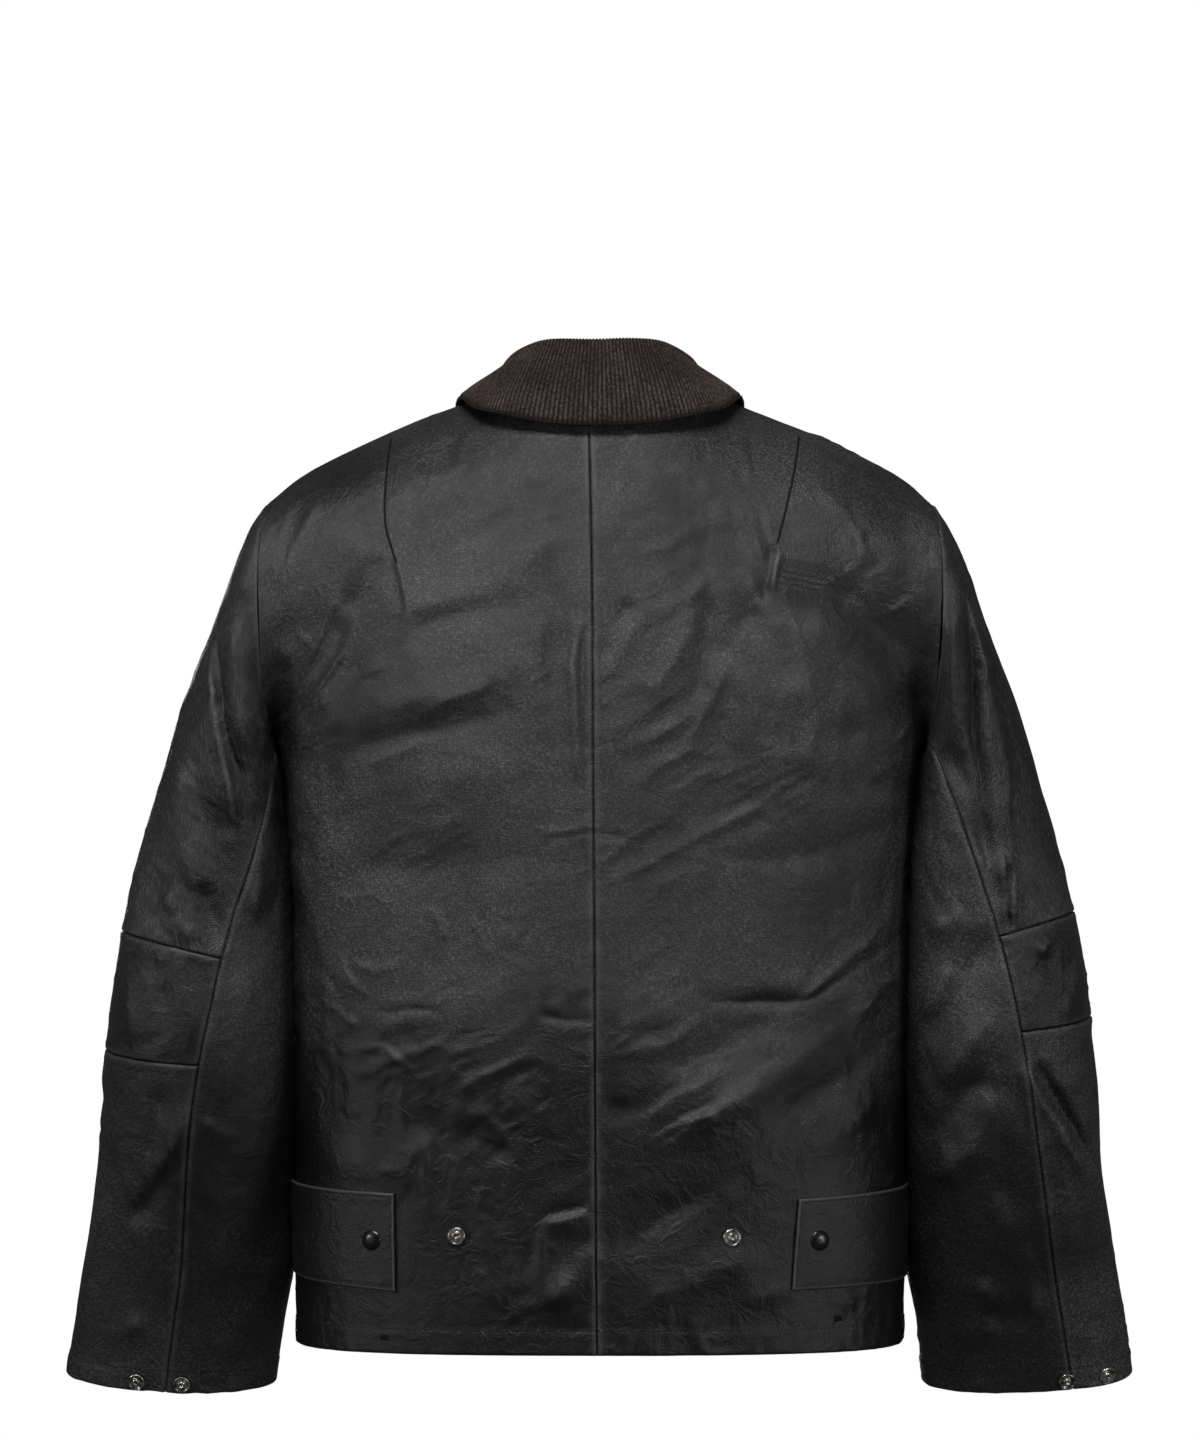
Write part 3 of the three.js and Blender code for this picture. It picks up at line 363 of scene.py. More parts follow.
BACK_FOLDS: tuple[Fold, ...] = (
    Fold(Shape.CREST, 5, 1.6, ((-194, -64), (-211, -97), (-227, -134))),
    Fold(Shape.CREST, 4, 1.3, ((-214, -71), (-222, -91), (-229, -121))),
    Fold(Shape.SOFT, 9, -2.0, ((-204, -64), (-219, -104), (-231, -147))),
    Fold(Shape.SOFT, 9, 1.8, ((-200, -161), (-223, -181))),
    Fold(Shape.CREST, 6, 3.4, ((-169, -143), (-176, -168), (-193, -194), (-212, -214), (-225, -228))),
    Fold(Shape.CREST, 5, 2.4, ((-185, -134), (-193, -161), (-206, -187), (-224, -215))),
    Fold(Shape.SOFT, 8, -3.0, ((-177, -141), (-185, -169), (-203, -199), (-223, -221))),
    Fold(Shape.CREST, 7, 2.2, ((-146, -177), (-173, -194), (-201, -215))),
    Fold(Shape.SOFT, 14, -2.6, ((-130, -161), (-160, -177), (-193, -207))),
    Fold(Shape.SOFT, 15, 2.6, ((-193, -230), (-146, -210), (-107, -202), (-44, -181))),
    Fold(Shape.SOFT, 10, -1.7, ((-199, -246), (-146, -232), (-84, -219), (-41, -204))),
    Fold(Shape.SOFT, 24, 2.2, ((-199, -272), (-123, -262), (-44, -245))),
    Fold(Shape.SOFT, 16, -1.3, ((-193, -320), (-107, -318), (-18, -312))),
    Fold(Shape.SOFT, 13, -2.4, ((-140, -161), (-100, -148), (-44, -133))),
    Fold(Shape.SOFT, 14, 2.3, ((-140, -144), (-97, -135), (-51, -106), (-18, -88))),
    Fold(Shape.SOFT, 13, -2.0, ((-127, -108), (-90, -95), (-44, -65))),
    Fold(Shape.SOFT, 13, 1.8, ((-147, -85), (-114, -65), (-71, -38))),
    Fold(Shape.CREST, 3.5, 1.1, ((-113, -105), (-90, -98), (-71, -90))),
    Fold(Shape.CREST, 4, 1.2, ((-123, -217), (-104, -204), (-71, -192))),
    Fold(Shape.CREST, 4, 1.2, ((-163, -267), (-156, -247), (-104, -230))),
    Fold(Shape.SOFT, 12, 2.2, ((-157, -95), (-177, -121), (-193, -148))),
    Fold(Shape.SOFT, 10, -2.2, ((-150, -105), (-167, -134), (-180, -148))),
    Fold(Shape.CREST, 5, 3.2, ((-142, -101), (-136, -128), (-135, -143), (-142, -156))),
    Fold(Shape.CREASE, 4, -2.8, ((-145, -101), (-140, -129), (-139, -144), (-148, -161))),
    Fold(Shape.CREST, 4.5, 3.6, ((125, -100), (122, -115), (118, -136))),
    Fold(Shape.CREASE, 5, -3.2, ((119, -98), (117, -118), (114, -138))),
    Fold(Shape.SOFT, 16, -3.4, ((114, -144), (95, -154), (78, -181))),
    Fold(Shape.SOFT, 14, -2.6, ((131, -114), (171, -138), (214, -181))),
    Fold(Shape.SOFT, 16, 2.4, ((135, -154), (174, -177), (214, -207))),
    Fold(Shape.SOFT, 8, -2.6, ((75, -130), (73, -161), (70, -187), (58, -214))),
    Fold(Shape.SOFT, 8, 2.2, ((62, -135), (58, -164), (42, -194), (32, -210))),
    Fold(Shape.CREST, 5, 1.8, ((88, -177), (80, -201), (65, -227), (58, -247))),
    Fold(Shape.SOFT, 8, -2.2, ((25, -135), (14, -154), (0, -181))),
    Fold(Shape.SOFT, 8, 1.9, ((35, -135), (25, -154), (9, -181), (0, -201))),
    Fold(Shape.SOFT, 16, 2.4, ((124, -187), (146, -214), (146, -263))),
    Fold(Shape.SOFT, 18, -3.0, ((168, -214), (181, -247), (184, -280))),
    Fold(Shape.CREST, 4, 1.6, ((203, -186), (218, -196))),
    Fold(Shape.CREST, 4, 1.5, ((204, -234), (218, -220))),
    Fold(Shape.SOFT, 12, -2.2, ((68, -310), (124, -316), (184, -300), (217, -280))),
    Fold(Shape.CREST, 4.5, 2.6, ((-12, -143), (-16, -174), (-15, -237), (-9, -267))),
    Fold(Shape.CREASE, 3.5, -2.0, ((-8, -148), (-12, -178), (-11, -234), (-7, -260))),
    Fold(Shape.SOFT, 9, -1.7, ((-23, -148), (-24, -197), (-20, -247))),
    Fold(Shape.CREASE, 2.6, -0.7, ((-41, -302), (-24, -300), (-9, -296), (9, -299), (25, -304))),
    Fold(Shape.CREST, 4, 1.1, ((-44, -296), (-24, -295), (-4, -291))),
    Fold(Shape.CREST, 5, 1.2, ((155, -58), (175, -81), (185, -107))),
    Fold(Shape.SOFT, 12, -1.6, ((192, -64), (215, -87), (222, -120))),
    Fold(Shape.CREST, 3.2, 1.5, ((-118, -347), (-112, -358), (-105, -371))),
    Fold(Shape.CREST, 3.2, 0.8, ((-92, -352), (-81, -373), (-72, -388))),
    Fold(Shape.CREST, 3.2, 0.9, ((-45, -342), (-52, -361), (-64, -380))),
    Fold(Shape.CREST, 4, 1.6, ((-198, -409), (-183, -422), (-164, -432))),
    Fold(Shape.CREST, 4, 1.5, ((-172, -385), (-157, -392), (-140, -387))),
    Fold(Shape.CREASE, 3, -1.4, ((-157, -423), (-137, -420), (-110, -421))),
    Fold(Shape.CREASE, 3, -1.2, ((-44, -423), (-23, -427), (-3, -427))),
    Fold(Shape.CREST, 4, 1.2, ((-183, -448), (-154, -445), (-139, -454), (-128, -464))),
    Fold(Shape.CREST, 4, 1.3, ((-183, -373), (-172, -399), (-154, -414))),
    Fold(Shape.CREASE, 3.5, -1.3, ((-201, -382), (-186, -402), (-183, -416))),
    Fold(Shape.SOFT, 9, 2.0, ((-200, -348), (-195, -377), (-185, -418))),
    Fold(Shape.SOFT, 8, -2.6, ((-212, -336), (-207, -375), (-203, -407))),
    Fold(Shape.CREST, 5, 1.7, ((-38, -569), (-20, -561), (-4, -557))),
    Fold(Shape.CREASE, 4, -1.3, ((-41, -565), (-23, -557), (-6, -552))),
    Fold(Shape.SOFT, 10, 1.8, ((-38, -628), (-23, -610), (-6, -592))),
    Fold(Shape.SOFT, 16, 1.8, ((-201, -519), (-154, -530), (-116, -530))),
    Fold(Shape.SOFT, 16, -1.6, ((-137, -492), (-96, -509), (-52, -515))),
    Fold(Shape.CREST, 4, 0.9, ((-154, -527), (-137, -530))),
    Fold(
        *(Shape.CREASE, 5, -3.0),
        ((70, -411), (105, -414), (139, -413), (168, -397), (201, -374), (214, -365)),
    ),
    Fold(Shape.CREST, 6, 2.6, ((128, -423), (153, -399), (181, -377), (204, -351))),
    Fold(Shape.SOFT, 17, -3.6, ((1, -498), (49, -464), (99, -435), (139, -419))),
    Fold(Shape.SOFT, 15, 3.8, ((49, -505), (91, -487), (133, -458), (173, -428), (207, -394))),
    Fold(Shape.SOFT, 14, -3.2, ((117, -505), (156, -474), (190, -448), (214, -423))),
    Fold(Shape.SOFT, 14, 2.2, ((134, -527), (173, -499), (207, -471))),
    Fold(Shape.CREST, 4, 1.8, ((179, -423), (196, -403), (210, -388))),
    Fold(Shape.CREST, 3.5, 1.3, ((115, -436), (114, -453), (115, -470))),
    Fold(Shape.CREST, 4, 1.4, ((68, -487), (80, -495), (71, -505))),
    Fold(Shape.CREST, 4, 1.8, ((200, -544), (213, -529), (216, -515))),
    Fold(Shape.SOFT, 15, -2.2, ((1, -591), (43, -562), (91, -532))),
    Fold(Shape.SOFT, 14, 2.4, ((23, -626), (66, -605), (116, -588))),
    Fold(Shape.SOFT, 10, 1.6, ((-33, -624), (-16, -605), (-2, -582))),
    Fold(Shape.SOFT, 12, 1.8, ((4, -481), (32, -470), (51, -450))),
    Fold(Shape.SOFT, 9, 1.5, ((94, -622), (116, -617), (139, -610))),
)
SLEEVE_FOLDS: tuple[Fold, ...] = (
    Fold(Shape.CREASE, 5, -4.0, ((-264, -148), (-266, -167), (-261, -207), (-254, -246), (-246, -292))),
    Fold(Shape.CREST, 6, 3.4, ((-271, -163), (-269, -205), (-260, -254), (-253, -295))),
    Fold(Shape.SOFT, 9, 2.6, ((-256, -149), (-253, -198), (-243, -247))),
    Fold(Shape.SOFT, 14, 2.2, ((-254, -97), (-259, -135))),
    Fold(Shape.SOFT, 12, -2.4, ((-285, -219), (-278, -268), (-268, -309))),
    Fold(Shape.SOFT, 12, 2.4, ((-296, -247), (-293, -295), (-282, -344))),
    Fold(Shape.SOFT, 8, -2.6, ((-278, -330), (-270, -358), (-267, -379))),
    Fold(Shape.SOFT, 8, 2.4, ((-302, -337), (-292, -361), (-281, -375))),
    Fold(Shape.SOFT, 7, 2.4, ((-228, -295), (-235, -330), (-240, -361))),
    Fold(Shape.CREASE, 5, -2.6, ((-221, -309), (-226, -344), (-231, -362))),
    Fold(Shape.CREST, 4, 1.4, ((-276, -498), (-264, -505), (-257, -504))),
    Fold(Shape.SOFT, 12, 1.8, ((-240, -386), (-251, -442), (-261, -491))),
    Fold(Shape.SOFT, 8, -1.8, ((-313, -382), (-302, -413), (-306, -445))),
    Fold(Shape.SOFT, 8, 1.8, ((-332, -387), (-330, -422), (-325, -450))),
    Fold(Shape.CREST, 4, 1.4, ((-306, -379), (-304, -407))),
    Fold(Shape.SOFT, 8, -3.0, ((-294, -518), (-311, -547), (-332, -577))),
    Fold(Shape.SOFT, 7, 2.6, ((-285, -484), (-299, -519), (-318, -547), (-335, -565))),
    Fold(Shape.CREST, 3.5, 2.4, ((-349, -557), (-355, -582), (-363, -613))),
    Fold(Shape.SOFT, 8, -1.8, ((-304, -470), (-309, -505), (-322, -533))),
    Fold(Shape.SOFT, 12, 1.8, ((-277, -541), (-270, -577), (-266, -619))),
    Fold(Shape.SOFT, 10, 1.6, ((-359, -649), (-338, -652), (-317, -645))),
    Fold(Shape.SOFT, 14, 1.8, ((-271, -670), (-254, -649), (-238, -634))),
    Fold(Shape.CREASE, 5, -4.4, ((253, -120), (259, -184), (262, -233), (268, -288), (271, -344))),
    Fold(Shape.CREST, 5, 4.0, ((250, -108), (265, -167), (279, -225), (284, -263), (288, -323))),
    Fold(Shape.SOFT, 8, -3.0, ((272, -177), (287, -233), (294, -275))),
    Fold(Shape.SOFT, 10, 2.4, ((243, -135), (245, -191), (249, -233))),
    Fold(Shape.CREST, 3.5, 3.0, ((280, -309), (281, -337), (283, -365))),
    Fold(Shape.CREST, 3.5, 3.0, ((286, -309), (287, -337), (288, -363))),
    Fold(Shape.CREASE, 3, -2.6, ((284, -316), (284, -340), (285, -365))),
    Fold(Shape.SOFT, 9, -3.0, ((240, -233), (257, -274), (268, -316))),
    Fold(Shape.SOFT, 13, -3.2, ((225, -449), (243, -420), (261, -386), (275, -361))),
    Fold(Shape.SOFT, 12, 3.0, ((223, -483), (243, -462), (261, -440), (280, -419))),
    Fold(Shape.SOFT, 11, -2.8, ((224, -511), (247, -491), (272, -463))),
    Fold(Shape.SOFT, 12, 2.8, ((230, -544), (251, -526), (269, -502), (274, -474))),
    Fold(Shape.SOFT, 8, 2.2, ((224, -427), (233, -413), (243, -386))),
    Fold(Shape.SOFT, 10, 2.4, ((226, -365), (240, -361), (254, -352))),
    Fold(Shape.CREASE, 4, -4.2, ((299, -447), (312, -474), (332, -504), (350, -539))),
    Fold(Shape.CREST, 5, 3.6, ((295, -457), (308, -483), (327, -513), (347, -548))),
    Fold(Shape.SOFT, 12, 2.4, ((326, -457), (337, -485), (345, -513))),
    Fold(Shape.SOFT, 9, 2.2, ((297, -584), (302, -612), (311, -648))),
    Fold(Shape.SOFT, 12, -2.2, ((280, -506), (288, -548), (297, -576))),
    Fold(Shape.CREST, 5, 2.0, ((246, -625), (258, -616), (272, -621), (281, -632))),
    Fold(Shape.SOFT, 8, 2.0, ((247, -650), (265, -654), (283, -646))),
    Fold(Shape.SOFT, 10, -1.8, ((265, -636), (286, -643), (311, -636))),
    Fold(Shape.CREST, 4, 2.0, ((322, -369), (310, -376), (306, -386))),
    Fold(Shape.SOFT, 9, -2.2, ((303, -386), (320, -396), (331, -386))),
    Fold(Shape.SOFT, 8, 2.4, ((338, -387), (329, -415), (323, -429))),
)
FRONT_FOLDS: tuple[Fold, ...] = (
    Fold(Shape.SOFT, 14, -4, ((-215, -222), (-190, -180), (-165, -150))),
    Fold(Shape.SOFT, 14, -4, ((215, -222), (190, -180), (168, -145))),
    Fold(Shape.CREST, 6, 2.6, ((-222, -236), (-200, -196), (-178, -160))),
    Fold(Shape.CREST, 6, 2.6, ((222, -236), (203, -196), (182, -158))),
    Fold(Shape.SOFT, 20, 4, ((-190, -330), (-140, -305), (-90, -290))),
    Fold(Shape.SOFT, 20, 4, ((190, -380), (130, -345), (80, -330))),
    Fold(Shape.SOFT, 22, -4, ((-190, -480), (-130, -510), (-80, -520))),
    Fold(Shape.SOFT, 22, -4, ((190, -520), (140, -500), (90, -490))),
    Fold(Shape.CREST, 5, 1.8, ((-180, -420), (-150, -432), (-120, -428))),
    Fold(Shape.CREST, 5, 1.8, ((170, -440), (140, -425), (105, -430))),
    Fold(Shape.SOFT, 16, 2.4, ((-150, -120), (-110, -160), (-90, -210))),
    Fold(Shape.SOFT, 16, 2.4, ((150, -125), (115, -165), (95, -220))),
    Fold(Shape.SOFT, 14, -5, ((-300, -360), (-275, -385), (-250, -400))),
    Fold(Shape.SOFT, 14, -5, ((-325, -430), (-290, -436), (-255, -430))),
    Fold(Shape.SOFT, 14, -5, ((300, -365), (275, -390), (250, -405))),
    Fold(Shape.SOFT, 14, -5, ((325, -440), (290, -438), (255, -430))),
    Fold(Shape.CREST, 7, 2.8, ((-318, -400), (-285, -412), (-250, -415))),
    Fold(Shape.CREST, 7, 2.8, ((318, -402), (285, -418), (250, -418))),
    Fold(Shape.SOFT, 12, 2.6, ((-255, -130), (-262, -200), (-255, -260))),
    Fold(Shape.SOFT, 12, 2.6, ((255, -130), (262, -205), (258, -265))),
    Fold(Shape.SOFT, 12, -2.6, ((-300, -500), (-320, -540), (-345, -570))),
    Fold(Shape.SOFT, 12, -2.6, ((300, -505), (322, -545), (348, -575))),
)


# Painted light and shade on the back: patches at x and z, of a width and a height, painted paler (gain over
# 0) or darker (gain under 0) where light and fold shade fall.
PAINTED_LIGHT_PATCHES = Table(
    ("x", "z", "wide", "tall", "gain"),
    (
        (-195, -60, 45, 50, -0.6),
        (-72, -35, 60, 35, 0.1),
        (51, -38, 60, 35, 0.25),
        (-178, -182, 40, 30, 0.3),
        (-136, -263, 70, 35, 0.6),
        (-195, -285, 40, 45, 1.3),
        (-34, -267, 35, 60, 0.3),
        (25, -165, 30, 60, 0.35),
        (-102, -402, 50, 25, 0.4),
        (25, -411, 40, 60, 0.2),
        (127, -445, 60, 20, 0.4),
        (113, -120, 50, 30, -0.5),
        (161, -140, 40, 40, -0.5),
        (-220, -215, 20, 40, -0.5),
        (-85, -225, 50, 20, -0.35),
        (-169, -450, 60, 50, -0.5),
        (160, -335, 50, 40, -0.25),
        (0, -500, 260, 60, -0.3),
    ),
)
HEM_BAND = 17.6
DARTS = {
    Side.LEFT: ((-147, -21), (-149, -52), (-149, -81), (-144, -101), (-140, -112)),
    Side.RIGHT: ((140, -19), (136, -42), (131, -64), (126, -84), (122, -99)),
}
BAR_TACKS = {
    Side.LEFT: ((-152, -646), (-149, -646), (-146, -646)),
    Side.RIGHT: ((162, -633), (165, -633), (168, -633)),
}
INNER_SEAM = ((223, -572), (229, -598), (233, -624), (239, -655), (244, -667))


def fold_field(folds: tuple[Fold, ...], x: Array, z: Array) -> Array:
    """The height of all the folds, on lines that wander a little."""
    flat = np.stack([x, z], -1)
    wander_x = x + 1.5 * grain(flat, 26, 3) + 0.5 * grain(flat, 9, 4)
    wander_z = z + 1.5 * grain(flat, 26, 5) + 0.5 * grain(flat, 9, 6)
    total = np.zeros(x.shape)
    for fold in folds:
        total += fold.height(wander_x, wander_z)
    return FOLD_STRENGTH * total


def folded(points: Array, middle_y: Array | float, back: tuple[Fold, ...], depth: float = 1.0) -> Array:
    """Moves points along Y by the folds, which fade out towards a form's sides.

    Args:
        points: places, with the axes last.
        middle_y: where the form's middle lies.
        back: the folds seen from behind.
        depth: how much deeper the folds seen from behind are than in their table.

    Returns:
        The moved points.
    """
    off = points[..., 1] - middle_y
    share = smooth(np.abs(off), 0, FOLD_FADE)
    moved = points.copy()
    x, z = points[..., 0], points[..., 2]
    behind = off < 0
    height = np.zeros(x.shape)
    if behind.any():
        height[behind] = -depth * fold_field(back, x[behind], z[behind])
    if (~behind).any():
        height[~behind] = fold_field(FRONT_FOLDS, x[~behind], z[~behind])
    moved[..., 1] += share * height
    return moved


def quarter(t: Array, half: Array, side: Array, depth: Array, square: Array) -> tuple[Array, Array]:
    """A quarter of a body section from its middle (0) to its side (1), as x and as depth."""
    s = 1 - t
    reach = depth + side
    x = 3 * s * s * t * square * half + 3 * s * t * t * half + t**3 * half
    y = -depth * (s**3 + 3 * s * s * t) + 3 * s * t * t * (side - square * reach) + t**3 * side
    return x, y


def even_turns() -> Array:
    """The share of a middle section's length that each of 200 even steps has reached."""
    x, y = quarter(np.linspace(0, 1, TURN_STEPS), *MIDDLE_SECTION)
    steps = np.hypot(np.diff(x), np.diff(y))
    return np.concatenate([[0], np.cumsum(steps)]) / steps.sum()


EVEN_TURNS = even_turns()


def evenly(share: Array) -> Array:
    """The place on a section at an even share of its length."""
    return np.interp(share, EVEN_TURNS, np.linspace(0, 1, TURN_STEPS))


def top_line(face: Face, share: Array) -> Array:
    """The neck seam and then the shoulder seam, by the share of the panel's width."""
    share = np.asarray(share, float)
    x_shoulder = NECK_HALF + (ARMHOLE_HIGH_X - NECK_HALF) * (share - NECK_SHARE) / (1 - NECK_SHARE)
    turn = np.clip(share / NECK_SHARE, 0, 1) * math.pi / 2
    cos = np.clip(np.cos(turn), 0, 1)
    on_shoulder = share > NECK_SHARE
    x = np.where(on_shoulder, x_shoulder, NECK_HALF * np.sin(turn))
    y = np.where(on_shoulder, 0, NECK_DEPTH[face] * cos)
    z_neck = NECK_SIDE_Z - (NECK_SIDE_Z - NECK_MIDDLE_Z[face]) * cos ** NECK_CURVE[face]
    z = np.where(on_shoulder, SHOULDER.read("z", x_shoulder), z_neck)
    return np.stack([x, y, z], -1)


def soft_top(face: Face, share: Array, spread: Array) -> Array:
    """The top line with its corner at the neck point spread out, as it is in the cloth below the seam."""
    total = np.zeros((*share.shape, 3))
    offsets = np.linspace(-1, 1, 9)
    for offset in offsets:
        place = share + offset * spread
        over = place > 1
        inner = np.abs(np.where(over, 2 - place, place))
        point = top_line(face, inner)
        point[..., 0] *= np.where(place < 0, -1.0, 1.0)
        end = top_line(face, np.ones(share.shape))
        total += np.where(over[..., None], 2 * end - point, point)
    return total / len(offsets)


def torso_form(face: Face, across: Array, z: Array, turn: Array) -> Array:
    """The body's form without folds.

    Args:
        face: back or front.
        across: from -1 at the left side by 0 in the middle to 1 at the right side.
        z: the height, which counts below the armhole, where turn is 0.
        turn: the turn round the armhole in radians, from 0 at its foot to pi at the shoulder.

    Returns:
        The points.
    """
    share = np.abs(across)
    sign = np.where(across < 0, -1.0, 1.0)
    way = face.value
    low_z = np.minimum(z, ARMHOLE_BOTTOM)
    names = ("half", "side", "back" if face is Face.BACK else "front", "square")
    half, side, depth, square = (TORSO.read(name, low_z) for name in names)
    x, y = quarter(evenly(share), half, -way * side, depth, square)
    lower = np.stack([sign * x, -way * y, low_z], -1)

    v = turn / math.pi
    line = BACK_LINE if face is Face.BACK else FRONT_LINE
    up = (1 - np.cos(turn)) / 2
    out = np.sin(turn)
    edge = np.stack(
        [
            ARMHOLE_LOW_X + (ARMHOLE_HIGH_X - ARMHOLE_LOW_X) * up + ARMHOLE_BULGE * out,
            way * ARMHOLE_DEPTH * out,
            ARMHOLE_BOTTOM + (ARMHOLE_TOP - ARMHOLE_BOTTOM) * up,
        ],
        -1,
    )
    depth = abs(line.rows[0][1])
    foot_x, foot_y = quarter(evenly(share), ARMHOLE_LOW_X, 0.0, depth, FOOT_SQUARE)
    top = soft_top(face, share, 0.5 * (1 - v))
    ends = top_line(face, np.array([0.0, 1.0]))
    high = v**FADE_DEPTH
    depth_share = (1 + foot_y / depth) * (1 - high) + (1 - top[..., 1] / ends[0, 1]) * high
    height_share = share * share * (2 - share)
    level_z = ends[0, 2] + (ends[1, 2] - ends[0, 2]) * height_share
    upper = np.empty(edge.shape)
    foot_side = (foot_x - share * ARMHOLE_LOW_X) * (1 - v**2) ** FADE_FOOT
    upper[..., 0] = sign * (share * edge[..., 0] + foot_side + (top[..., 0] - share * ARMHOLE_HIGH_X) * v)
    middle_y, middle_z = line.read("y", v), line.read("z", v)
    edge_share = np.maximum(depth_share, 0) ** (1 + EDGE_KEEN * (1 - v) ** 3)
    upper[..., 1] = middle_y * (1 - depth_share) + edge[..., 1] * edge_share
    rise = (edge[..., 2] - middle_z) * height_share
    upper[..., 2] = middle_z + rise + (top[..., 2] - level_z) * v**FADE_HEIGHT
    return np.where((turn > 0)[..., None], upper, lower)


def sleeve_form(side: Side, along: Array, turn: Array) -> tuple[Array, Array]:
    """A sleeve's form without folds.

    Args:
        side: which sleeve.
        along: from 0 at the armhole to 100 at the cuff.
        turn: the turn in radians from the outer edge, positive behind.

    Returns:
        The points, and the y of the sleeve's middle at each.
    """
    out = np.sin(turn)
    reach = (1 - np.cos(turn)) / 2
    depth = np.where(out > 0, SLEEVE.read("back", along), SLEEVE.read("front", along))
    lean = np.radians(SLEEVE.read("lean", along))
    ox, ix = SLEEVE.read("ox", along), SLEEVE.read("ix", along)
    oz, iz = SLEEVE.read("oz", along), SLEEVE.read("iz", along)
    middle = SLEEVE.read("y", along)
    x = ox + (ix - ox) * reach + SLEEVE.read("bulge", along) * np.abs(out)
    x = x + ARMHOLE_GAP * np.clip(1 - along / GAP_FADE, 0, 1)
    y = middle + (SLEEVE.read("iy", along) - middle) * reach**2 - depth * out * np.cos(lean)
    z = oz + (iz - oz) * reach - depth * out * np.sin(lean)
    return np.stack([side.value * x, y, z], -1), middle


def normals_of(points: Array, inside: Array) -> Array:
    """The outward direction at each point of a grid of points.

    Args:
        points: rows and columns of places.
        inside: a place on the inner side of the grid's middle.

    Returns:
        Unit directions.
    """
    across = np.gradient(points, axis=1)
    along = np.gradient(points, axis=0)
    normal = np.cross(across, along)
    normal /= np.maximum(np.linalg.norm(normal, axis=-1, keepdims=True), 1e-9)
    r, c = points.shape[0] // 2, points.shape[1] // 2
    if normal[r, c] @ (points[r, c] - inside) < 0:
        normal = -normal
    return normal


def lengths_along(points: Array, axis: int) -> Array:
    """The length from a grid's first row or column to each point, in its own unit."""
    steps = np.linalg.norm(np.diff(points, axis=axis), axis=-1)
    start = np.zeros_like(np.take(steps, [0], axis=axis))
    return np.concatenate([start, np.cumsum(steps, axis=axis)], axis=axis)


def stops(length: float, cell: float) -> Array:
    """Shares of a length, about a cell apart and closer at both ends, where a seam rolls in."""
    tight = np.array([0, 0.5, 1.1, 1.9, 3.0])
    count = max(2, int(round((length - 2 * 4.2) / cell)))
    middle = np.linspace(4.2, length - 4.2, count + 1)
    return np.concatenate([tight, middle, length - tight[::-1]]) / length


def pucker(along: Array, away: Array, pitch: float, seed: int) -> Array:
    """Small wrinkles square to a seam, from -1 to 1, which slant a little as they leave it."""
    wide = np.stack([along + 0.25 * away, away * 0.25], -1)
    return 0.7 * grain(wide, pitch, seed) + 0.5 * grain(wide, pitch * 0.45, seed + 1)


def edge_relief(sewn: Sewn, away: Array, along: Array, seed: int) -> Array:
    """The height that an edge's sewing gives the cloth.

    Args:
        sewn: how the edge is finished.
        away: the distance from the edge.
        along: the length along the edge.
        seed: which set of puckers.

    Returns:
        Heights.
    """
    roll = np.clip(1 - away / 1.7, 0, 1) ** 2
    if sewn is Sewn.SIDE:
        return 0.6 * pucker(along, away, 9, seed) * np.exp(-away / 6) * smooth(away, 0, 2)
    if sewn is Sewn.SEAM:
        lip = 0.4 * smooth(away, 0.4, 1.6) * (1 - smooth(away, 4, 7))
        waves = 0.6 * pucker(along, away, 8, seed) * np.exp(-away / 6)
        return lip + waves * smooth(away, 0, 1.2) - 0.95 * roll
    if sewn is Sewn.HEM:
        lip = 0.5 * (1 - smooth(away, HEM_BAND, HEM_BAND + 2.5))
        stitch = -0.45 * np.exp(-(((away - HEM_BAND) / 1.6) ** 2))
        waves = 0.6 * pucker(along, away, 12, seed) * np.exp(-np.abs(away - HEM_BAND) / 9)
        edge = 0.5 * pucker(along, away, 15, seed + 7) * np.exp(-away / 8)
        return lip + stitch + waves + edge - 0.9 * roll
    return np.zeros(away.shape)


def slanted_creases(points: Array, slant: float, seed: int) -> Array:
    """Sharp small creases that mostly run at one slope, as heights."""
    x, y, z = np.moveaxis(points, -1, 0)
    turned = math.radians(slant)
    along, across = x * math.cos(turned) + z * math.sin(turned), z * math.cos(turned) - x * math.sin(turned)
    warp = np.stack([0.36 * along, across, 0.7 * y], -1)
    warp = warp + 4 * np.stack([grain(points, 24, seed + k) for k in range(3)], -1)
    total = np.zeros(x.shape)
    for size, height in ((19, 1.1), (8.5, 0.5), (4.5, 0.16)):
        total += height * (1 - np.abs(grain(warp, size, seed + 5)) * 2.2)
    return total


def crumple(points: Array, slant: float) -> Array:
    """The fine broken creases of waxed cotton.

    Args:
        points: places on the cloth.
        slant: the slope of most creases in degrees, seen from behind.

    Returns:
        Heights.
    """
    patch = smooth(grain(points, 60, 13), -0.25, 0.4)
    other = smooth(grain(points, 75, 15), 0.0, 0.3)
    creases = (1 - other) * slanted_creases(points, slant, 31)
    creases = creases + other * slanted_creases(points, slant + 62, 41)
    return 0.8 * grain(points, 52, 14) + (0.25 + 0.75 * patch) * creases


def painted_patch_gain(points: Array) -> Array:
    """Painted light and shade: how much paler (over 1) or darker the back is painted in each of its
    patches.
    """
    x, _, z = np.moveaxis(points + 14 * np.stack([grain(points, 40, 61 + k) for k in range(3)], -1), -1, 0)
    total = np.ones(x.shape)
    for row_x, row_z, wide, tall, gain in PAINTED_LIGHT_PATCHES.rows:
        total += gain * np.exp(-(((x - row_x) / wide) ** 2) - ((z - row_z) / tall) ** 2)
    return np.maximum(total, 0.1)


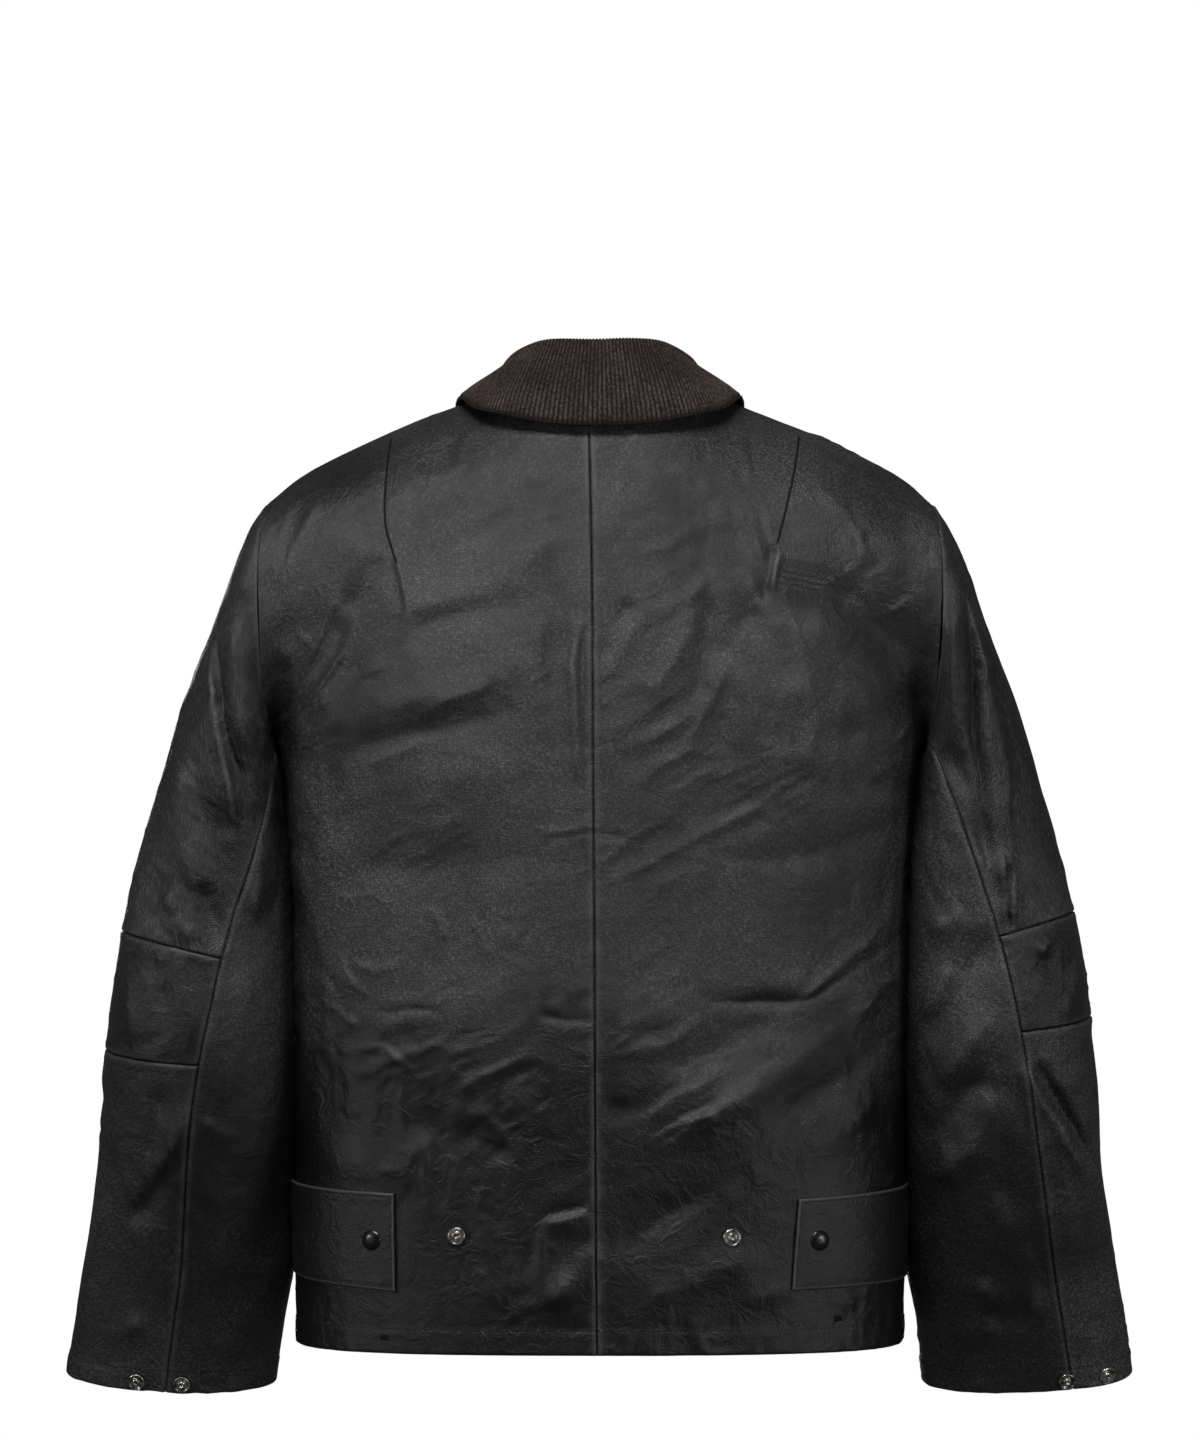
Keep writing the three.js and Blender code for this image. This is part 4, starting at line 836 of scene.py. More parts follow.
class Finish:
    """A node material: its tree, its Principled shader and short ways to add nodes."""

    def __init__(self, name: str) -> None:
        """Starts an empty material with a Principled shader."""
        self.material = bpy.data.materials.new(name)
        self.material.use_nodes = True
        self.tree = self.material.node_tree
        self.tree.nodes.clear()
        self.shader = self.node("ShaderNodeBsdfPrincipled")
        output = self.node("ShaderNodeOutputMaterial")
        self.link(self.shader, "BSDF", output, "Surface")

    def node(self, kind: str, **values: object) -> bpy.types.Node:
        """Adds a node and sets the properties given by name."""
        made = self.tree.nodes.new(kind)
        for name, value in values.items():
            setattr(made, name, value)
        return made

    def link(self, start: bpy.types.Node, out: str | int, end: bpy.types.Node, into: str | int) -> None:
        """Joins an output to an input."""
        self.tree.links.new(start.outputs[out], end.inputs[into])

    def feed(self, value: Port | Colour | float, end: bpy.types.Node, into: str | int) -> None:
        """Gives an input a number or a colour, or joins an output to it."""
        if isinstance(value, tuple) and isinstance(value[0], bpy.types.Node):
            self.link(*value, end, into)
        else:
            end.inputs[into].default_value = (*value, 1) if isinstance(value, tuple) else value

    def effect(self, tree: bpy.types.NodeTree, place: Port, **values: float) -> bpy.types.Node:
        """Places a shared effect on some coordinates, with its own values."""
        made = self.node("ShaderNodeGroup")
        made.node_tree = tree
        self.feed(place, made, "Vector")
        for name, value in values.items():
            made.inputs[name].default_value = value
        return made

    def mark(self, name: str) -> Port:
        """Reads a value that the cloth's points carry."""
        return self.node("ShaderNodeAttribute", attribute_name=name), "Fac"

    def sum(self, operation: str, *values: Port | float) -> Port:
        """Works out a sum on numbers and outputs."""
        made = self.node("ShaderNodeMath", operation=operation)
        for slot, value in enumerate(values):
            self.feed(value, made, slot)
        return made, 0

    def blend(self, first: Port | Colour, second: Port | Colour, share: Port) -> Port:
        """Mixes two colours by a share of the second."""
        made = self.node("ShaderNodeMix", data_type="RGBA")
        for into, value in (("A", first), ("B", second), ("Factor", share)):
            self.feed(value, made, into)
        return made, "Result"

    def span(self, value: Port, low: float, high: float) -> Port:
        """Turns a share from 0 to 1 into one from low to high."""
        made = self.node("ShaderNodeMapRange")
        made.inputs["To Min"].default_value = low
        made.inputs["To Max"].default_value = high
        self.feed(value, made, "Value")
        return made, "Result"

    def bump(self, height: Port, strength: float, distance: float) -> None:
        """Raises the surface by a height."""
        made = self.node("ShaderNodeBump")
        made.inputs["Strength"].default_value = strength
        made.inputs["Distance"].default_value = distance
        self.feed(height, made, "Height")
        self.link(made, "Normal", self.shader, "Normal")

    def plain(self, **values: float | Colour) -> None:
        """Sets the shader's own sockets, which are the same all over the surface."""
        for name, value in values.items():
            self.feed(value, self.shader, name.replace("_", " "))


@dataclass
class GroupMaker:
    """Builds a shader node group with named sockets."""

    name: str
    tree: bpy.types.NodeTree = field(init=False)
    source: bpy.types.Node = field(init=False)
    result: bpy.types.Node = field(init=False)

    def __post_init__(self) -> None:
        """Starts the empty group."""
        self.tree = bpy.data.node_groups.new(self.name, "ShaderNodeTree")
        self.source = self.tree.nodes.new("NodeGroupInput")
        self.result = self.tree.nodes.new("NodeGroupOutput")

    def socket(
        self, name: str, way: str, kind: str = "NodeSocketFloat", value: float | None = None
    ) -> None:
        """Adds a named input or output."""
        made = self.tree.interface.new_socket(name=name, in_out=way, socket_type=kind)
        if value is not None:
            made.default_value = value

    def noise(self, vector: Port, scale: float | str, detail: float) -> bpy.types.Node:
        """Adds a noise texture on a vector, with a fixed scale or one from the group's input."""
        made = self.tree.nodes.new("ShaderNodeTexNoise")
        made.inputs["Detail"].default_value = detail
        self.tree.links.new(vector[0].outputs[vector[1]], made.inputs["Vector"])
        if isinstance(scale, str):
            self.tree.links.new(self.source.outputs[scale], made.inputs["Scale"])
        else:
            made.inputs["Scale"].default_value = scale
        return made

    def math(self, operation: str, first: object, second: object) -> bpy.types.Node:
        """Adds a sum on two sockets or numbers."""
        made = self.tree.nodes.new("ShaderNodeMath")
        made.operation = operation
        for slot, value in enumerate((first, second)):
            if isinstance(value, (int, float)):
                made.inputs[slot].default_value = value
            else:
                self.tree.links.new(value, made.inputs[slot])
        return made

    def ramp(self, value: object, low: float, high: float) -> bpy.types.Node:
        """Adds a soft step from 0 at low to 1 at high."""
        made = self.tree.nodes.new("ShaderNodeMapRange")
        made.interpolation_type = "SMOOTHSTEP"
        made.inputs["From Min"].default_value = low
        made.inputs["From Max"].default_value = high
        self.tree.links.new(value, made.inputs["Value"])
        return made


def patches_group() -> bpy.types.NodeTree:
    """A cloudy mask for wax, wear and fading: sockets Vector, Size and Contrast in, Mask out."""
    maker = GroupMaker("Cloudy patches")
    maker.socket("Vector", "INPUT", "NodeSocketVector")
    maker.socket("Size", "INPUT", value=12.0)
    maker.socket("Contrast", "INPUT", value=1.0)
    maker.socket("Mask", "OUTPUT")
    broad = maker.noise((maker.source, "Vector"), "Size", 4.0)
    centred = maker.math("SUBTRACT", broad.outputs[0], 0.5)
    strong = maker.math("MULTIPLY", centred.outputs[0], maker.source.outputs["Contrast"])
    mask = maker.math("ADD", strong.outputs[0], 0.5)
    mask.use_clamp = True
    maker.tree.links.new(mask.outputs[0], maker.result.inputs["Mask"])
    return maker.tree


def weave_group() -> bpy.types.NodeTree:
    """Plain weave with slubs: sockets Vector and Threads in, Height and Speckle out."""
    maker = GroupMaker("Plain weave")
    maker.socket("Vector", "INPUT", "NodeSocketVector")
    maker.socket("Threads", "INPUT", value=1400.0)
    maker.socket("Height", "OUTPUT")
    maker.socket("Speckle", "OUTPUT")
    parts = maker.tree.nodes.new("ShaderNodeSeparateXYZ")
    maker.tree.links.new(maker.source.outputs["Vector"], parts.inputs[0])
    waves = []
    for axis in (0, 1):
        turned = maker.math("MULTIPLY", parts.outputs[axis], maker.source.outputs["Threads"])
        waves.append(maker.math("SINE", maker.math("MULTIPLY", turned.outputs[0], math.pi).outputs[0], 0.0))
    woven = maker.math("MULTIPLY", waves[0].outputs[0], waves[1].outputs[0])
    dashes = []
    for stretch in ((1.0, 0.3, 1.0), (0.3, 1.0, 1.0)):
        stretched = maker.tree.nodes.new("ShaderNodeMapping")
        stretched.inputs["Scale"].default_value = stretch
        maker.tree.links.new(maker.source.outputs["Vector"], stretched.inputs["Vector"])
        dashes.append(maker.noise((stretched, "Vector"), 980.0, 2.0))
    slubs = maker.math("MAXIMUM", dashes[0].outputs[0], dashes[1].outputs[0])
    uneven = maker.math("MULTIPLY", slubs.outputs[0], 2.2)
    height = maker.math("ADD", maker.math("MULTIPLY", woven.outputs[0], 0.35).outputs[0], uneven.outputs[0])
    maker.tree.links.new(height.outputs[0], maker.result.inputs["Height"])
    speckle = maker.ramp(slubs.outputs[0], 0.5, 0.74)
    maker.tree.links.new(speckle.outputs[0], maker.result.inputs["Speckle"])
    return maker.tree


def creases_group() -> bpy.types.NodeTree:
    """Fine broken creases: sockets Vector and Size in, Height out."""
    maker = GroupMaker("Fine creases")
    maker.socket("Vector", "INPUT", "NodeSocketVector")
    maker.socket("Size", "INPUT", value=60.0)
    maker.socket("Height", "OUTPUT")
    noise = maker.noise((maker.source, "Vector"), "Size", 2.0)
    noise.inputs["Distortion"].default_value = 0.8
    centred = maker.math("SUBTRACT", noise.outputs[0], 0.5)
    folded_up = maker.math("ABSOLUTE", centred.outputs[0], 0.0)
    ridge = maker.math("SUBTRACT", 0.5, folded_up.outputs[0])
    sharp = maker.math("POWER", ridge.outputs[0], 2.0)
    maker.tree.links.new(sharp.outputs[0], maker.result.inputs["Height"])
    return maker.tree


def cracks_group() -> bpy.types.NodeTree:
    """Short thin lines where folding has cracked the wax: sockets Vector, Size and Width in, Lines out."""
    maker = GroupMaker("Cracked wax")
    maker.socket("Vector", "INPUT", "NodeSocketVector")
    maker.socket("Size", "INPUT", value=30.0)
    maker.socket("Width", "INPUT", value=0.03)
    maker.socket("Lines", "OUTPUT")
    bend = maker.noise((maker.source, "Vector"), 26.0, 3.0)
    bent = maker.tree.nodes.new("ShaderNodeVectorMath")
    bent.operation = "MULTIPLY_ADD"
    maker.tree.links.new(bend.outputs["Color"], bent.inputs[0])
    bent.inputs[1].default_value = (0.045, 0.045, 0.045)
    maker.tree.links.new(maker.source.outputs["Vector"], bent.inputs[2])
    cells = maker.tree.nodes.new("ShaderNodeTexVoronoi")
    cells.feature = "DISTANCE_TO_EDGE"
    maker.tree.links.new(bent.outputs[0], cells.inputs["Vector"])
    maker.tree.links.new(maker.source.outputs["Size"], cells.inputs["Scale"])
    share = maker.math("DIVIDE", cells.outputs["Distance"], maker.source.outputs["Width"])
    thin = maker.ramp(share.outputs[0], 1.0, 0.0)
    broken = maker.noise((maker.source, "Vector"), 34.0, 2.0)
    kept = maker.ramp(broken.outputs[0], 0.5, 0.64)
    lines = maker.math("MULTIPLY", thin.outputs[0], kept.outputs[0])
    maker.tree.links.new(lines.outputs[0], maker.result.inputs["Lines"])
    return maker.tree


@dataclass(frozen=True)
class Effects:
    """The node groups that the finishes share."""

    patches: bpy.types.NodeTree
    weave: bpy.types.NodeTree
    creases: bpy.types.NodeTree
    cracks: bpy.types.NodeTree


@dataclass(frozen=True)
class WaxedCotton:
    """Near-black waxed cotton, with patchy wax, worn seams and a fine weave, painted paler high up and
    darker low down as painted light from above.
    """

    name: str = "Waxed cotton"
    # dark and light are the painted shade low down and the painted light high up; worn is the pale of worn
    # wax and of painted glints.
    dark: Colour = (0.0028, 0.0032, 0.0032)
    light: Colour = (0.0215, 0.022, 0.021)
    worn: Colour = (0.13, 0.132, 0.128)

    def material(self, effects: Effects) -> bpy.types.Material:
        """Builds the material from the shared effects."""
        finish = Finish(self.name)
        place = finish.node("ShaderNodeTexCoord")
        solid, flat = (place, "Object"), (place, "UV")
        wear, bloom = finish.mark("wear"), finish.mark("bloom")
        broad = finish.effect(effects.patches, solid, Size=9.0, Contrast=2.6)
        small = finish.effect(effects.patches, solid, Size=48.0, Contrast=2.4)
        weave = finish.effect(effects.weave, flat, Threads=1300.0)
        creases = finish.effect(effects.creases, solid, Size=62.0)
        cracks = finish.effect(effects.cracks, solid, Size=32.0, Width=0.04)
        crazing = finish.effect(effects.cracks, solid, Size=75.0, Width=0.07)

        # Painted light: the colour goes from dark to light by the painted light mark, with random patches
        # in it.
        patched = finish.sum("MULTIPLY_ADD", (small, "Mask"), 0.3, (broad, "Mask"))
        patchy_bloom_and_light = finish.sum("MULTIPLY", patched, bloom)
        painted_tone = finish.blend(self.dark, self.light, patchy_bloom_and_light)
        # Weave slubs painted as pale glints where the painted light is: partly the weave's grain, partly
        # painted highlight.
        speckle = finish.sum("MULTIPLY", (weave, "Speckle"), patchy_bloom_and_light)
        spotted = finish.blend(painted_tone, self.worn, finish.sum("MULTIPLY", speckle, 0.8))
        lined = finish.sum("MULTIPLY_ADD", (cracks, "Lines"), 0.03, wear)
        finish.feed(finish.blend(spotted, self.worn, lined), finish.shader, "Base Color")

        matt = finish.sum("MULTIPLY_ADD", finish.span((small, "Mask"), 0.2, 0.05), bloom, 0.33)
        finish.feed(matt, finish.shader, "Roughness")
        finish.plain(Specular_IOR_Level=0.5)

        woven = finish.sum("MULTIPLY", (weave, "Height"), finish.span(bloom, 0.62, 1.0))
        ridges = finish.sum("MULTIPLY_ADD", (creases, "Height"), 6.0, woven)
        sharp = finish.sum("MULTIPLY_ADD", (crazing, "Lines"), 0.22, ridges)
        height = finish.sum("MULTIPLY_ADD", (cracks, "Lines"), 0.32, sharp)
        finish.bump(height, 0.75, 0.0004)
        return finish.material


@dataclass(frozen=True)
class CorduroyPile:
    """Dark brown corduroy, paler on the wales and darker between them, partly the ground cloth and partly
    painted shade in the grooves.
    """

    name: str = "Corduroy"
    # The groove colour is near black: partly the ground cloth, partly painted shade between the wales.
    groove_shade: Colour = (0.003, 0.0022, 0.0024)
    wale: Colour = (0.047, 0.0255, 0.0275)
    faded: Colour = (0.098, 0.073, 0.062)

    def material(self, effects: Effects) -> bpy.types.Material:
        """Builds the material from the shared effects."""
        finish = Finish(self.name)
        place = (finish.node("ShaderNodeTexCoord"), "Object")
        broad = finish.effect(effects.patches, place, Size=36.0, Contrast=4.0)
        pile = finish.effect(effects.patches, place, Size=520.0, Contrast=3.6)
        shade = finish.sum("MULTIPLY_ADD", (broad, "Mask"), 0.6, finish.mark("wear"))
        shade[0].use_clamp = True
        top = finish.blend(self.wale, self.faded, shade)
        lit = finish.span((pile, "Mask"), 0.22, 1.0)
        furry = finish.sum("MULTIPLY", finish.mark("wale"), lit)
        finish.feed(finish.blend(self.groove_shade, top, furry), finish.shader, "Base Color")
        finish.plain(Roughness=0.92, Specular_IOR_Level=0.2)
        finish.plain(Sheen_Weight=0.05, Sheen_Roughness=0.5, Sheen_Tint=(0.8, 0.62, 0.55))
        finish.bump((pile, "Mask"), 0.7, 0.0004)
        return finish.material


@dataclass(frozen=True)
class SnapMetal:
    """Turned snap metal with tarnish in patches."""

    name: str
    bright: Colour
    tarnish: Colour
    roughness: tuple[float, float]

    def material(self, effects: Effects) -> bpy.types.Material:
        """Builds the material from the shared effects."""
        finish = Finish(self.name)
        place = (finish.node("ShaderNodeTexCoord"), "Object")
        mask = (finish.effect(effects.patches, place, Size=300.0, Contrast=4.5), "Mask")
        finish.feed(finish.blend(self.bright, self.tarnish, mask), finish.shader, "Base Color")
        finish.feed(finish.span(mask, *self.roughness), finish.shader, "Roughness")
        finish.plain(Metallic=1.0)
        return finish.material


@dataclass(frozen=True)
class Thread:
    """Twisted black sewing thread."""

    name: str = "Sewing thread"
    shaded: Colour = (0.00325, 0.0034, 0.0034)
    colour: Colour = (0.0065, 0.0068, 0.0068)

    def material(self, effects: Effects) -> bpy.types.Material:
        """Builds the material from the shared effects."""
        finish = Finish(self.name)
        place = (finish.node("ShaderNodeTexCoord"), "Object")
        mask = (finish.effect(effects.patches, place, Size=1500.0, Contrast=3.0), "Mask")
        finish.feed(finish.blend(self.shaded, self.colour, mask), finish.shader, "Base Color")
        finish.plain(Roughness=0.75, Specular_IOR_Level=0.2)
        return finish.material


@dataclass(frozen=True)
class Finishes:
    """The materials, by what they are for."""

    cotton: bpy.types.Material
    corduroy: bpy.types.Material
    dark_snap: bpy.types.Material
    bright_snap: bpy.types.Material
    thread: bpy.types.Material

    @staticmethod
    def make() -> Finishes:
        """Builds every finish from one set of shared effects."""
        effects = Effects(patches_group(), weave_group(), creases_group(), cracks_group())
        dark = SnapMetal("Dark snap", (0.07, 0.068, 0.065), (0.03, 0.029, 0.028), (0.22, 0.4))
        bright = SnapMetal("Bright snap", (0.78, 0.76, 0.72), (0.1, 0.095, 0.09), (0.2, 0.4))
        return Finishes(
            WaxedCotton().material(effects),
            CorduroyPile().material(effects),
            dark.material(effects),
            bright.material(effects),
            Thread().material(effects),
        )


def to_object(bm: bmesh.types.BMesh, name: str, material: bpy.types.Material) -> bpy.types.Object:
    """Puts a finished bmesh into the scene as a smooth-shaded piece on the root body."""
    mesh = bpy.data.meshes.new(name)
    bm.to_mesh(mesh)
    bm.free()
    mesh.materials.append(material)
    mesh.shade_smooth()
    piece = bpy.data.objects.new(name, mesh)
    bpy.context.scene.collection.objects.link(piece)
    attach(piece, "root")
    return piece


@dataclass
class Sheet:
    """A grid of cloth points that becomes a thin shell.

    Fields:
        name: the piece's name.
        points: rows and columns of places on the outer face.
        cut: the lengths across and along from the first column and row, for the weave.
        marks: values for each point, by attribute name.
        thickness: the wall.
        outside: the outward direction at each point.
    """

    name: str
    points: Array
    cut: Array
    marks: dict[str, Array]
    thickness: float
    outside: Array

    def build(self, material: bpy.types.Material) -> bpy.types.Object:
        """Makes the grid, moves it onto the points and gives it its wall.

        Args:
            material: the cloth's finish.

        Returns:
            The piece.
        """
        rows, columns = self.points.shape[:2]
        bm = bmesh.new()
        bm.loops.layers.uv.new("cut")
        bmesh.ops.create_grid(bm, x_segments=columns - 1, y_segments=rows - 1, size=1.0, calc_uvs=True)
        piece = to_object(bm, self.name, material)
        mesh = piece.data
        start = np.empty(len(mesh.vertices) * 3)
        mesh.vertices.foreach_get("co", start)
        start = start.reshape(-1, 3)
        c = np.rint((start[:, 0] + 1) / 2 * (columns - 1)).astype(int)
        r = np.rint((start[:, 1] + 1) / 2 * (rows - 1)).astype(int)
        mesh.vertices.foreach_set("co", (self.points[r, c] * MM).ravel())
        corner = np.empty(len(mesh.loops), int)
        mesh.loops.foreach_get("vertex_index", corner)
        mesh.uv_layers[0].data.foreach_set("uv", (self.cut[r[corner], c[corner]] * MM).ravel())
        for name, value in self.marks.items():
            layer = mesh.attributes.new(name, "FLOAT", "POINT")
            layer.data.foreach_set("value", value[r, c].astype(np.float32).ravel())
        mesh.update()
        middle = mesh.polygons[(rows // 2) * (columns - 1) + columns // 2]
        outward = self.outside[rows // 2, columns // 2]
        if Vector(outward) @ middle.normal < 0:
            mesh.flip_normals()
        wall = piece.modifiers.new("Wall", "SOLIDIFY")
        wall.thickness = self.thickness * MM
        wall.offset = -1
        wall.use_even_offset = False
        return piece


@dataclass(frozen=True)
class Run:
    """A line on the cloth, as close places with their outward directions."""

    places: Array
    outward: Array

    @staticmethod
    def beside(sheet: Sheet, edge: int, distance: float, ends: tuple[float, float] = (0, 0)) -> Run:
        """A line at a distance from an edge of a sheet.

        Args:
            sheet: the cloth.
            edge: 0 to 3 for its first column, last column, first row and last row.
            distance: how far inside the edge.
            ends: what is left free at the line's start and end.

        Returns:
            The line.
        """
        points, outward = sheet.points, sheet.outside
        if edge < 2:
            points, outward = points.swapaxes(0, 1), outward.swapaxes(0, 1)
        if edge % 2:
            points, outward = points[::-1], outward[::-1]
        length = lengths_along(points, 0)
        column = np.arange(points.shape[1])
        row = np.clip((length < distance).sum(0) - 1, 0, len(points) - 2)
        span = length[row + 1, column] - length[row, column]
        part = ((distance - length[row, column]) / span)[:, None]
        places = points[row, column] * (1 - part) + points[row + 1, column] * part
        along = lengths_along(places[None], 1)[0]
        inner = (along >= ends[0]) & (along <= along[-1] - ends[1])
        return Run(places[inner], outward[row, column][inner])

    @staticmethod
    def on(sheet: Sheet, line: tuple[tuple[float, float], ...]) -> Run:
        """A line through places seen square on, laid on a sheet."""
        path = Fold(Shape.CREASE, 1, 0, line).path()
        length = lengths_along(path[None], 1)[0]
        even = np.linspace(0, length[-1], max(4, int(length[-1] / 1.6)))
        path = np.stack([np.interp(even, length, path[:, axis]) for axis in (0, 1)], 1)
        flat = sheet.points[1:-1, 1:-1, ::2]
        found = [int(((flat - place) ** 2).sum(-1).argmin()) for place in path]
        row, column = np.unravel_index(found, flat.shape[:2])
        row, column = row + 1, column + 1
        points = sheet.points
        across = (points[row, column + 1] - points[row, column - 1]) / 2
        up = (points[row + 1, column] - points[row - 1, column]) / 2
        off = path - points[row, column][:, ::2]
        area = across[:, 0] * up[:, 2] - across[:, 2] * up[:, 0]
        a = (off[:, 0] * up[:, 2] - off[:, 1] * up[:, 0]) / area
        b = (across[:, 0] * off[:, 1] - across[:, 2] * off[:, 0]) / area
        places = points[row, column] + a[:, None] * across + b[:, None] * up
        return Run(places, sheet.outside[row, column])

    def evenly(self, pitch: float) -> tuple[Array, Array, Array]:
        """Even places on the line with their directions along and out."""
        length = lengths_along(self.places[None], 1)[0]
        even = np.arange(pitch / 2, length[-1], pitch)
        ahead = np.minimum(even + 0.8, length[-1])
        behind = np.maximum(even - 0.8, 0)
        read = ((even, self.places), (behind, self.places), (ahead, self.places), (even, self.outward))
        place, start, end, out = (
            np.stack([np.interp(at, length, value[:, axis]) for axis in range(3)], 1) for at, value in read
        )
        way = end - start
        way /= np.maximum(np.linalg.norm(way, axis=1, keepdims=True), 1e-9)
        out = out - (out * way).sum(1, keepdims=True) * way
        out /= np.maximum(np.linalg.norm(out, axis=1, keepdims=True), 1e-9)
        return place, way, out


@dataclass
class Sewing:
    """Thread on the cloth: rows of stitches and dark cords that paint the shade in darts and seams,
    gathered and then made as joined meshes.
    """

    verts: list[Array] = field(default_factory=list)
    faces: list[Array] = field(default_factory=list)
    count: int = 0
    sides: int = 6

    def stitches(self, run: Run, pitch: float = 3.2, share: float = 0.74, thick: float = 0.34) -> None:
        """Adds a row of stitches, each a short twist of thread that dips in at both ends."""
        place, way, out = run.evenly(pitch)
        beside = np.cross(out, way)
        stations = np.array([-1.0, -0.62, 0.0, 0.62, 1.0])
        round_off = np.array([0.35, 0.85, 1.0, 0.85, 0.35])
        turn = np.arange(self.sides) / self.sides * math.tau
        reach = stations * pitch * share / 2
        rise = 0.1 - 0.3 * stations**2
        slant = 0.16 * stations
        ring = (
            place[:, None, None]
            + (way[:, None] * reach[:, None])[:, :, None]
            + (beside[:, None] * slant[:, None])[:, :, None]
            + (out[:, None] * rise[:, None])[:, :, None]
            + thick
            * round_off[:, None, None]
            * (beside[:, None, None] * np.cos(turn)[:, None] + out[:, None, None] * np.sin(turn)[:, None])
        )
        self.add_tubes(ring)

    def bar(self, run: Run, high: float = 5.5) -> None:
        """Adds a bar tack: close stitches side by side across a short line."""
        place, way, out = run.evenly(0.75)
        upright = np.cross(out, way)
        for k in range(len(place)):
            ends = place[k] + upright[k] * np.array([[-high / 2], [-high / 6], [high / 6], [high / 2]])
            self.stitches(Run(ends, np.repeat(out[k][None], 4, 0)), high, 0.96, 0.42)

    def line(self, run: Run, wide: float = 0.55, high: float = 0.3) -> None:
        """Adds a dark thin cord half sunk in the cloth along a dart or seam, as painted shade in its
        crease.
        """
        place, way, out = run.evenly(1.6)
        beside = np.cross(out, way)
        turn = np.arange(self.sides) / self.sides * math.tau
        taper = np.clip(np.minimum(np.arange(len(place)), np.arange(len(place))[::-1]) / 3 + 0.25, 0, 1)
        ring = place[:, None] + taper[:, None, None] * (
            beside[:, None] * (wide * np.cos(turn))[:, None] + out[:, None] * (high * np.sin(turn))[:, None]
        )
        self.add_tubes(ring[None])

    def add_tubes(self, rings: Array) -> None:
        """Adds closed tubes from their rings: tubes, stations, sides and axes."""
        tubes, stations, sides = rings.shape[:3]
        index = np.arange(tubes * stations * sides).reshape(tubes, stations, sides) + self.count
        ahead = np.roll(index, -1, axis=2)
        walls = np.stack([index[:, :-1], ahead[:, :-1], ahead[:, 1:], index[:, 1:]], -1).reshape(-1, 4)
        ends = [index[:, 0, [0, 3, 2, 1]], index[:, 0, [0, 5, 4, 3]]]
        ends += [index[:, -1, [0, 1, 2, 3]], index[:, -1, [0, 3, 4, 5]]]
        self.verts.append(rings.reshape(-1, 3))
        self.faces += [walls, *ends]
        self.count += tubes * stations * sides

    def build(self, name: str, material: bpy.types.Material) -> bpy.types.Object:
        """Makes what was gathered as one mesh, and starts again."""
        mesh = bpy.data.meshes.new(name)
        verts = np.concatenate(self.verts) * MM
        mesh.from_pydata(verts.tolist(), [], np.concatenate(self.faces).tolist())
        mesh.materials.append(material)
        mesh.shade_smooth()
        piece = bpy.data.objects.new(name, mesh)
        bpy.context.scene.collection.objects.link(piece)
        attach(piece, "root")
        LOG.info("%s: %d faces", name, len(mesh.polygons))
        self.verts, self.faces, self.count = [], [], 0
        return piece


@dataclass
class Cloth:
    """One waxed cotton panel.

    Fields:
        name: the node that it stands for.
        form: gives the folded points of shares across and along, with the y of the form's middle.
        inside: a place on its inner side.
        size: its rough width and length, which set the grid.
        cell: the grid's cell.
        edges: how its first column, last column, first row and last row are sewn.
        seed: which small creases it has.
        bloom: how dry the wax has become and how much painted light the cloth gets, low down and high up:
            it is painted paler high up where the overhead light falls.
        slant: the slope of its small creases in degrees.
    """

    name: str
    form: Callable[[Array, Array], Array]
    inside: tuple[float, float, float]
    size: tuple[float, float]
    cell: float
    edges: tuple[Sewn, Sewn, Sewn, Sewn]
    seed: int
    bloom: tuple[float, float] = (0.05, 0.92)
    slant: float = 28.0

    def sheet(self) -> Sheet:
        """Works out the panel's points from its form, folds, creases and sewing."""
        u, v = np.meshgrid(stops(self.size[0], self.cell), stops(self.size[1], self.cell))
        base = self.form(u, v)
        normal = normals_of(base, np.array(self.inside))
        across = lengths_along(base, 1)
        along = lengths_along(base, 0)
        away = (across, across[:, -1:] - across, along, along[-1:] - along)
        beside = (along, along, across, across)
        relief = np.zeros(u.shape)
        nearest = np.full(u.shape, 1e3)
        for k, sewn in enumerate(self.edges):
            relief += edge_relief(sewn, away[k], beside[k], self.seed + 3 * k)
            if sewn is Sewn.SEAM:
                nearest = np.minimum(nearest, away[k])
        calm = smooth(nearest, 0, 9)
        relief += calm * crumple(base, self.slant)
        moved = base + normal * relief[..., None]
        shape_x = np.gradient(np.gradient(moved, axis=1), axis=1)
        shape_y = np.gradient(np.gradient(moved, axis=0), axis=0)
        convex = -((shape_x + shape_y) * normal).sum(-1) / self.cell**2
        worn = smooth(convex, 0.12, 0.5) * smooth(nearest, 2, 6) * 0.26
        worn += 0.35 * np.exp(-(((nearest - 2.2) / 1.6) ** 2)) * (0.6 + 0.4 * grain(base, 14, 51))
        # Painted light: the cloth is painted paler above z -400 and darker below z -500, where the overhead
        # light falls and fades, together with the wax's own dryness; the back's patches add painted light
        # and shade.
        fall = smooth(moved[..., 2] + 25 * grain(base, 90, 52), -500, -400)
        bloom = self.bloom[0] + (self.bloom[1] - self.bloom[0]) * fall
        if self.name.startswith("back"):
            bloom = bloom * painted_patch_gain(base)
        cut = np.stack([across, along], -1)
        marks = {"wear": np.clip(worn, 0, 1), "bloom": bloom}
        return Sheet(self.name, moved, cut, marks, CLOTH, normal)

    def build(self, finishes: Finishes) -> Sheet:
        """Makes the panel, puts it in its node's place, states its cut and returns its sheet."""
        sheet = self.sheet()
        piece = sheet.build(finishes.cotton)
        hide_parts(self.name)
        width = float(sheet.cut[..., 0].max()) * MM
        length = float(sheet.cut[..., 1].max()) * MM
        steps = np.cross(np.diff(sheet.points, axis=1)[:-1], np.diff(sheet.points, axis=0)[:, :-1])
        area = float(np.linalg.norm(steps, axis=-1).sum()) * MM * MM
        LOG.info("%s: %.0f x %.0f mm, %.4f m2", self.name, width * 1000, length * 1000, area)
        return sheet


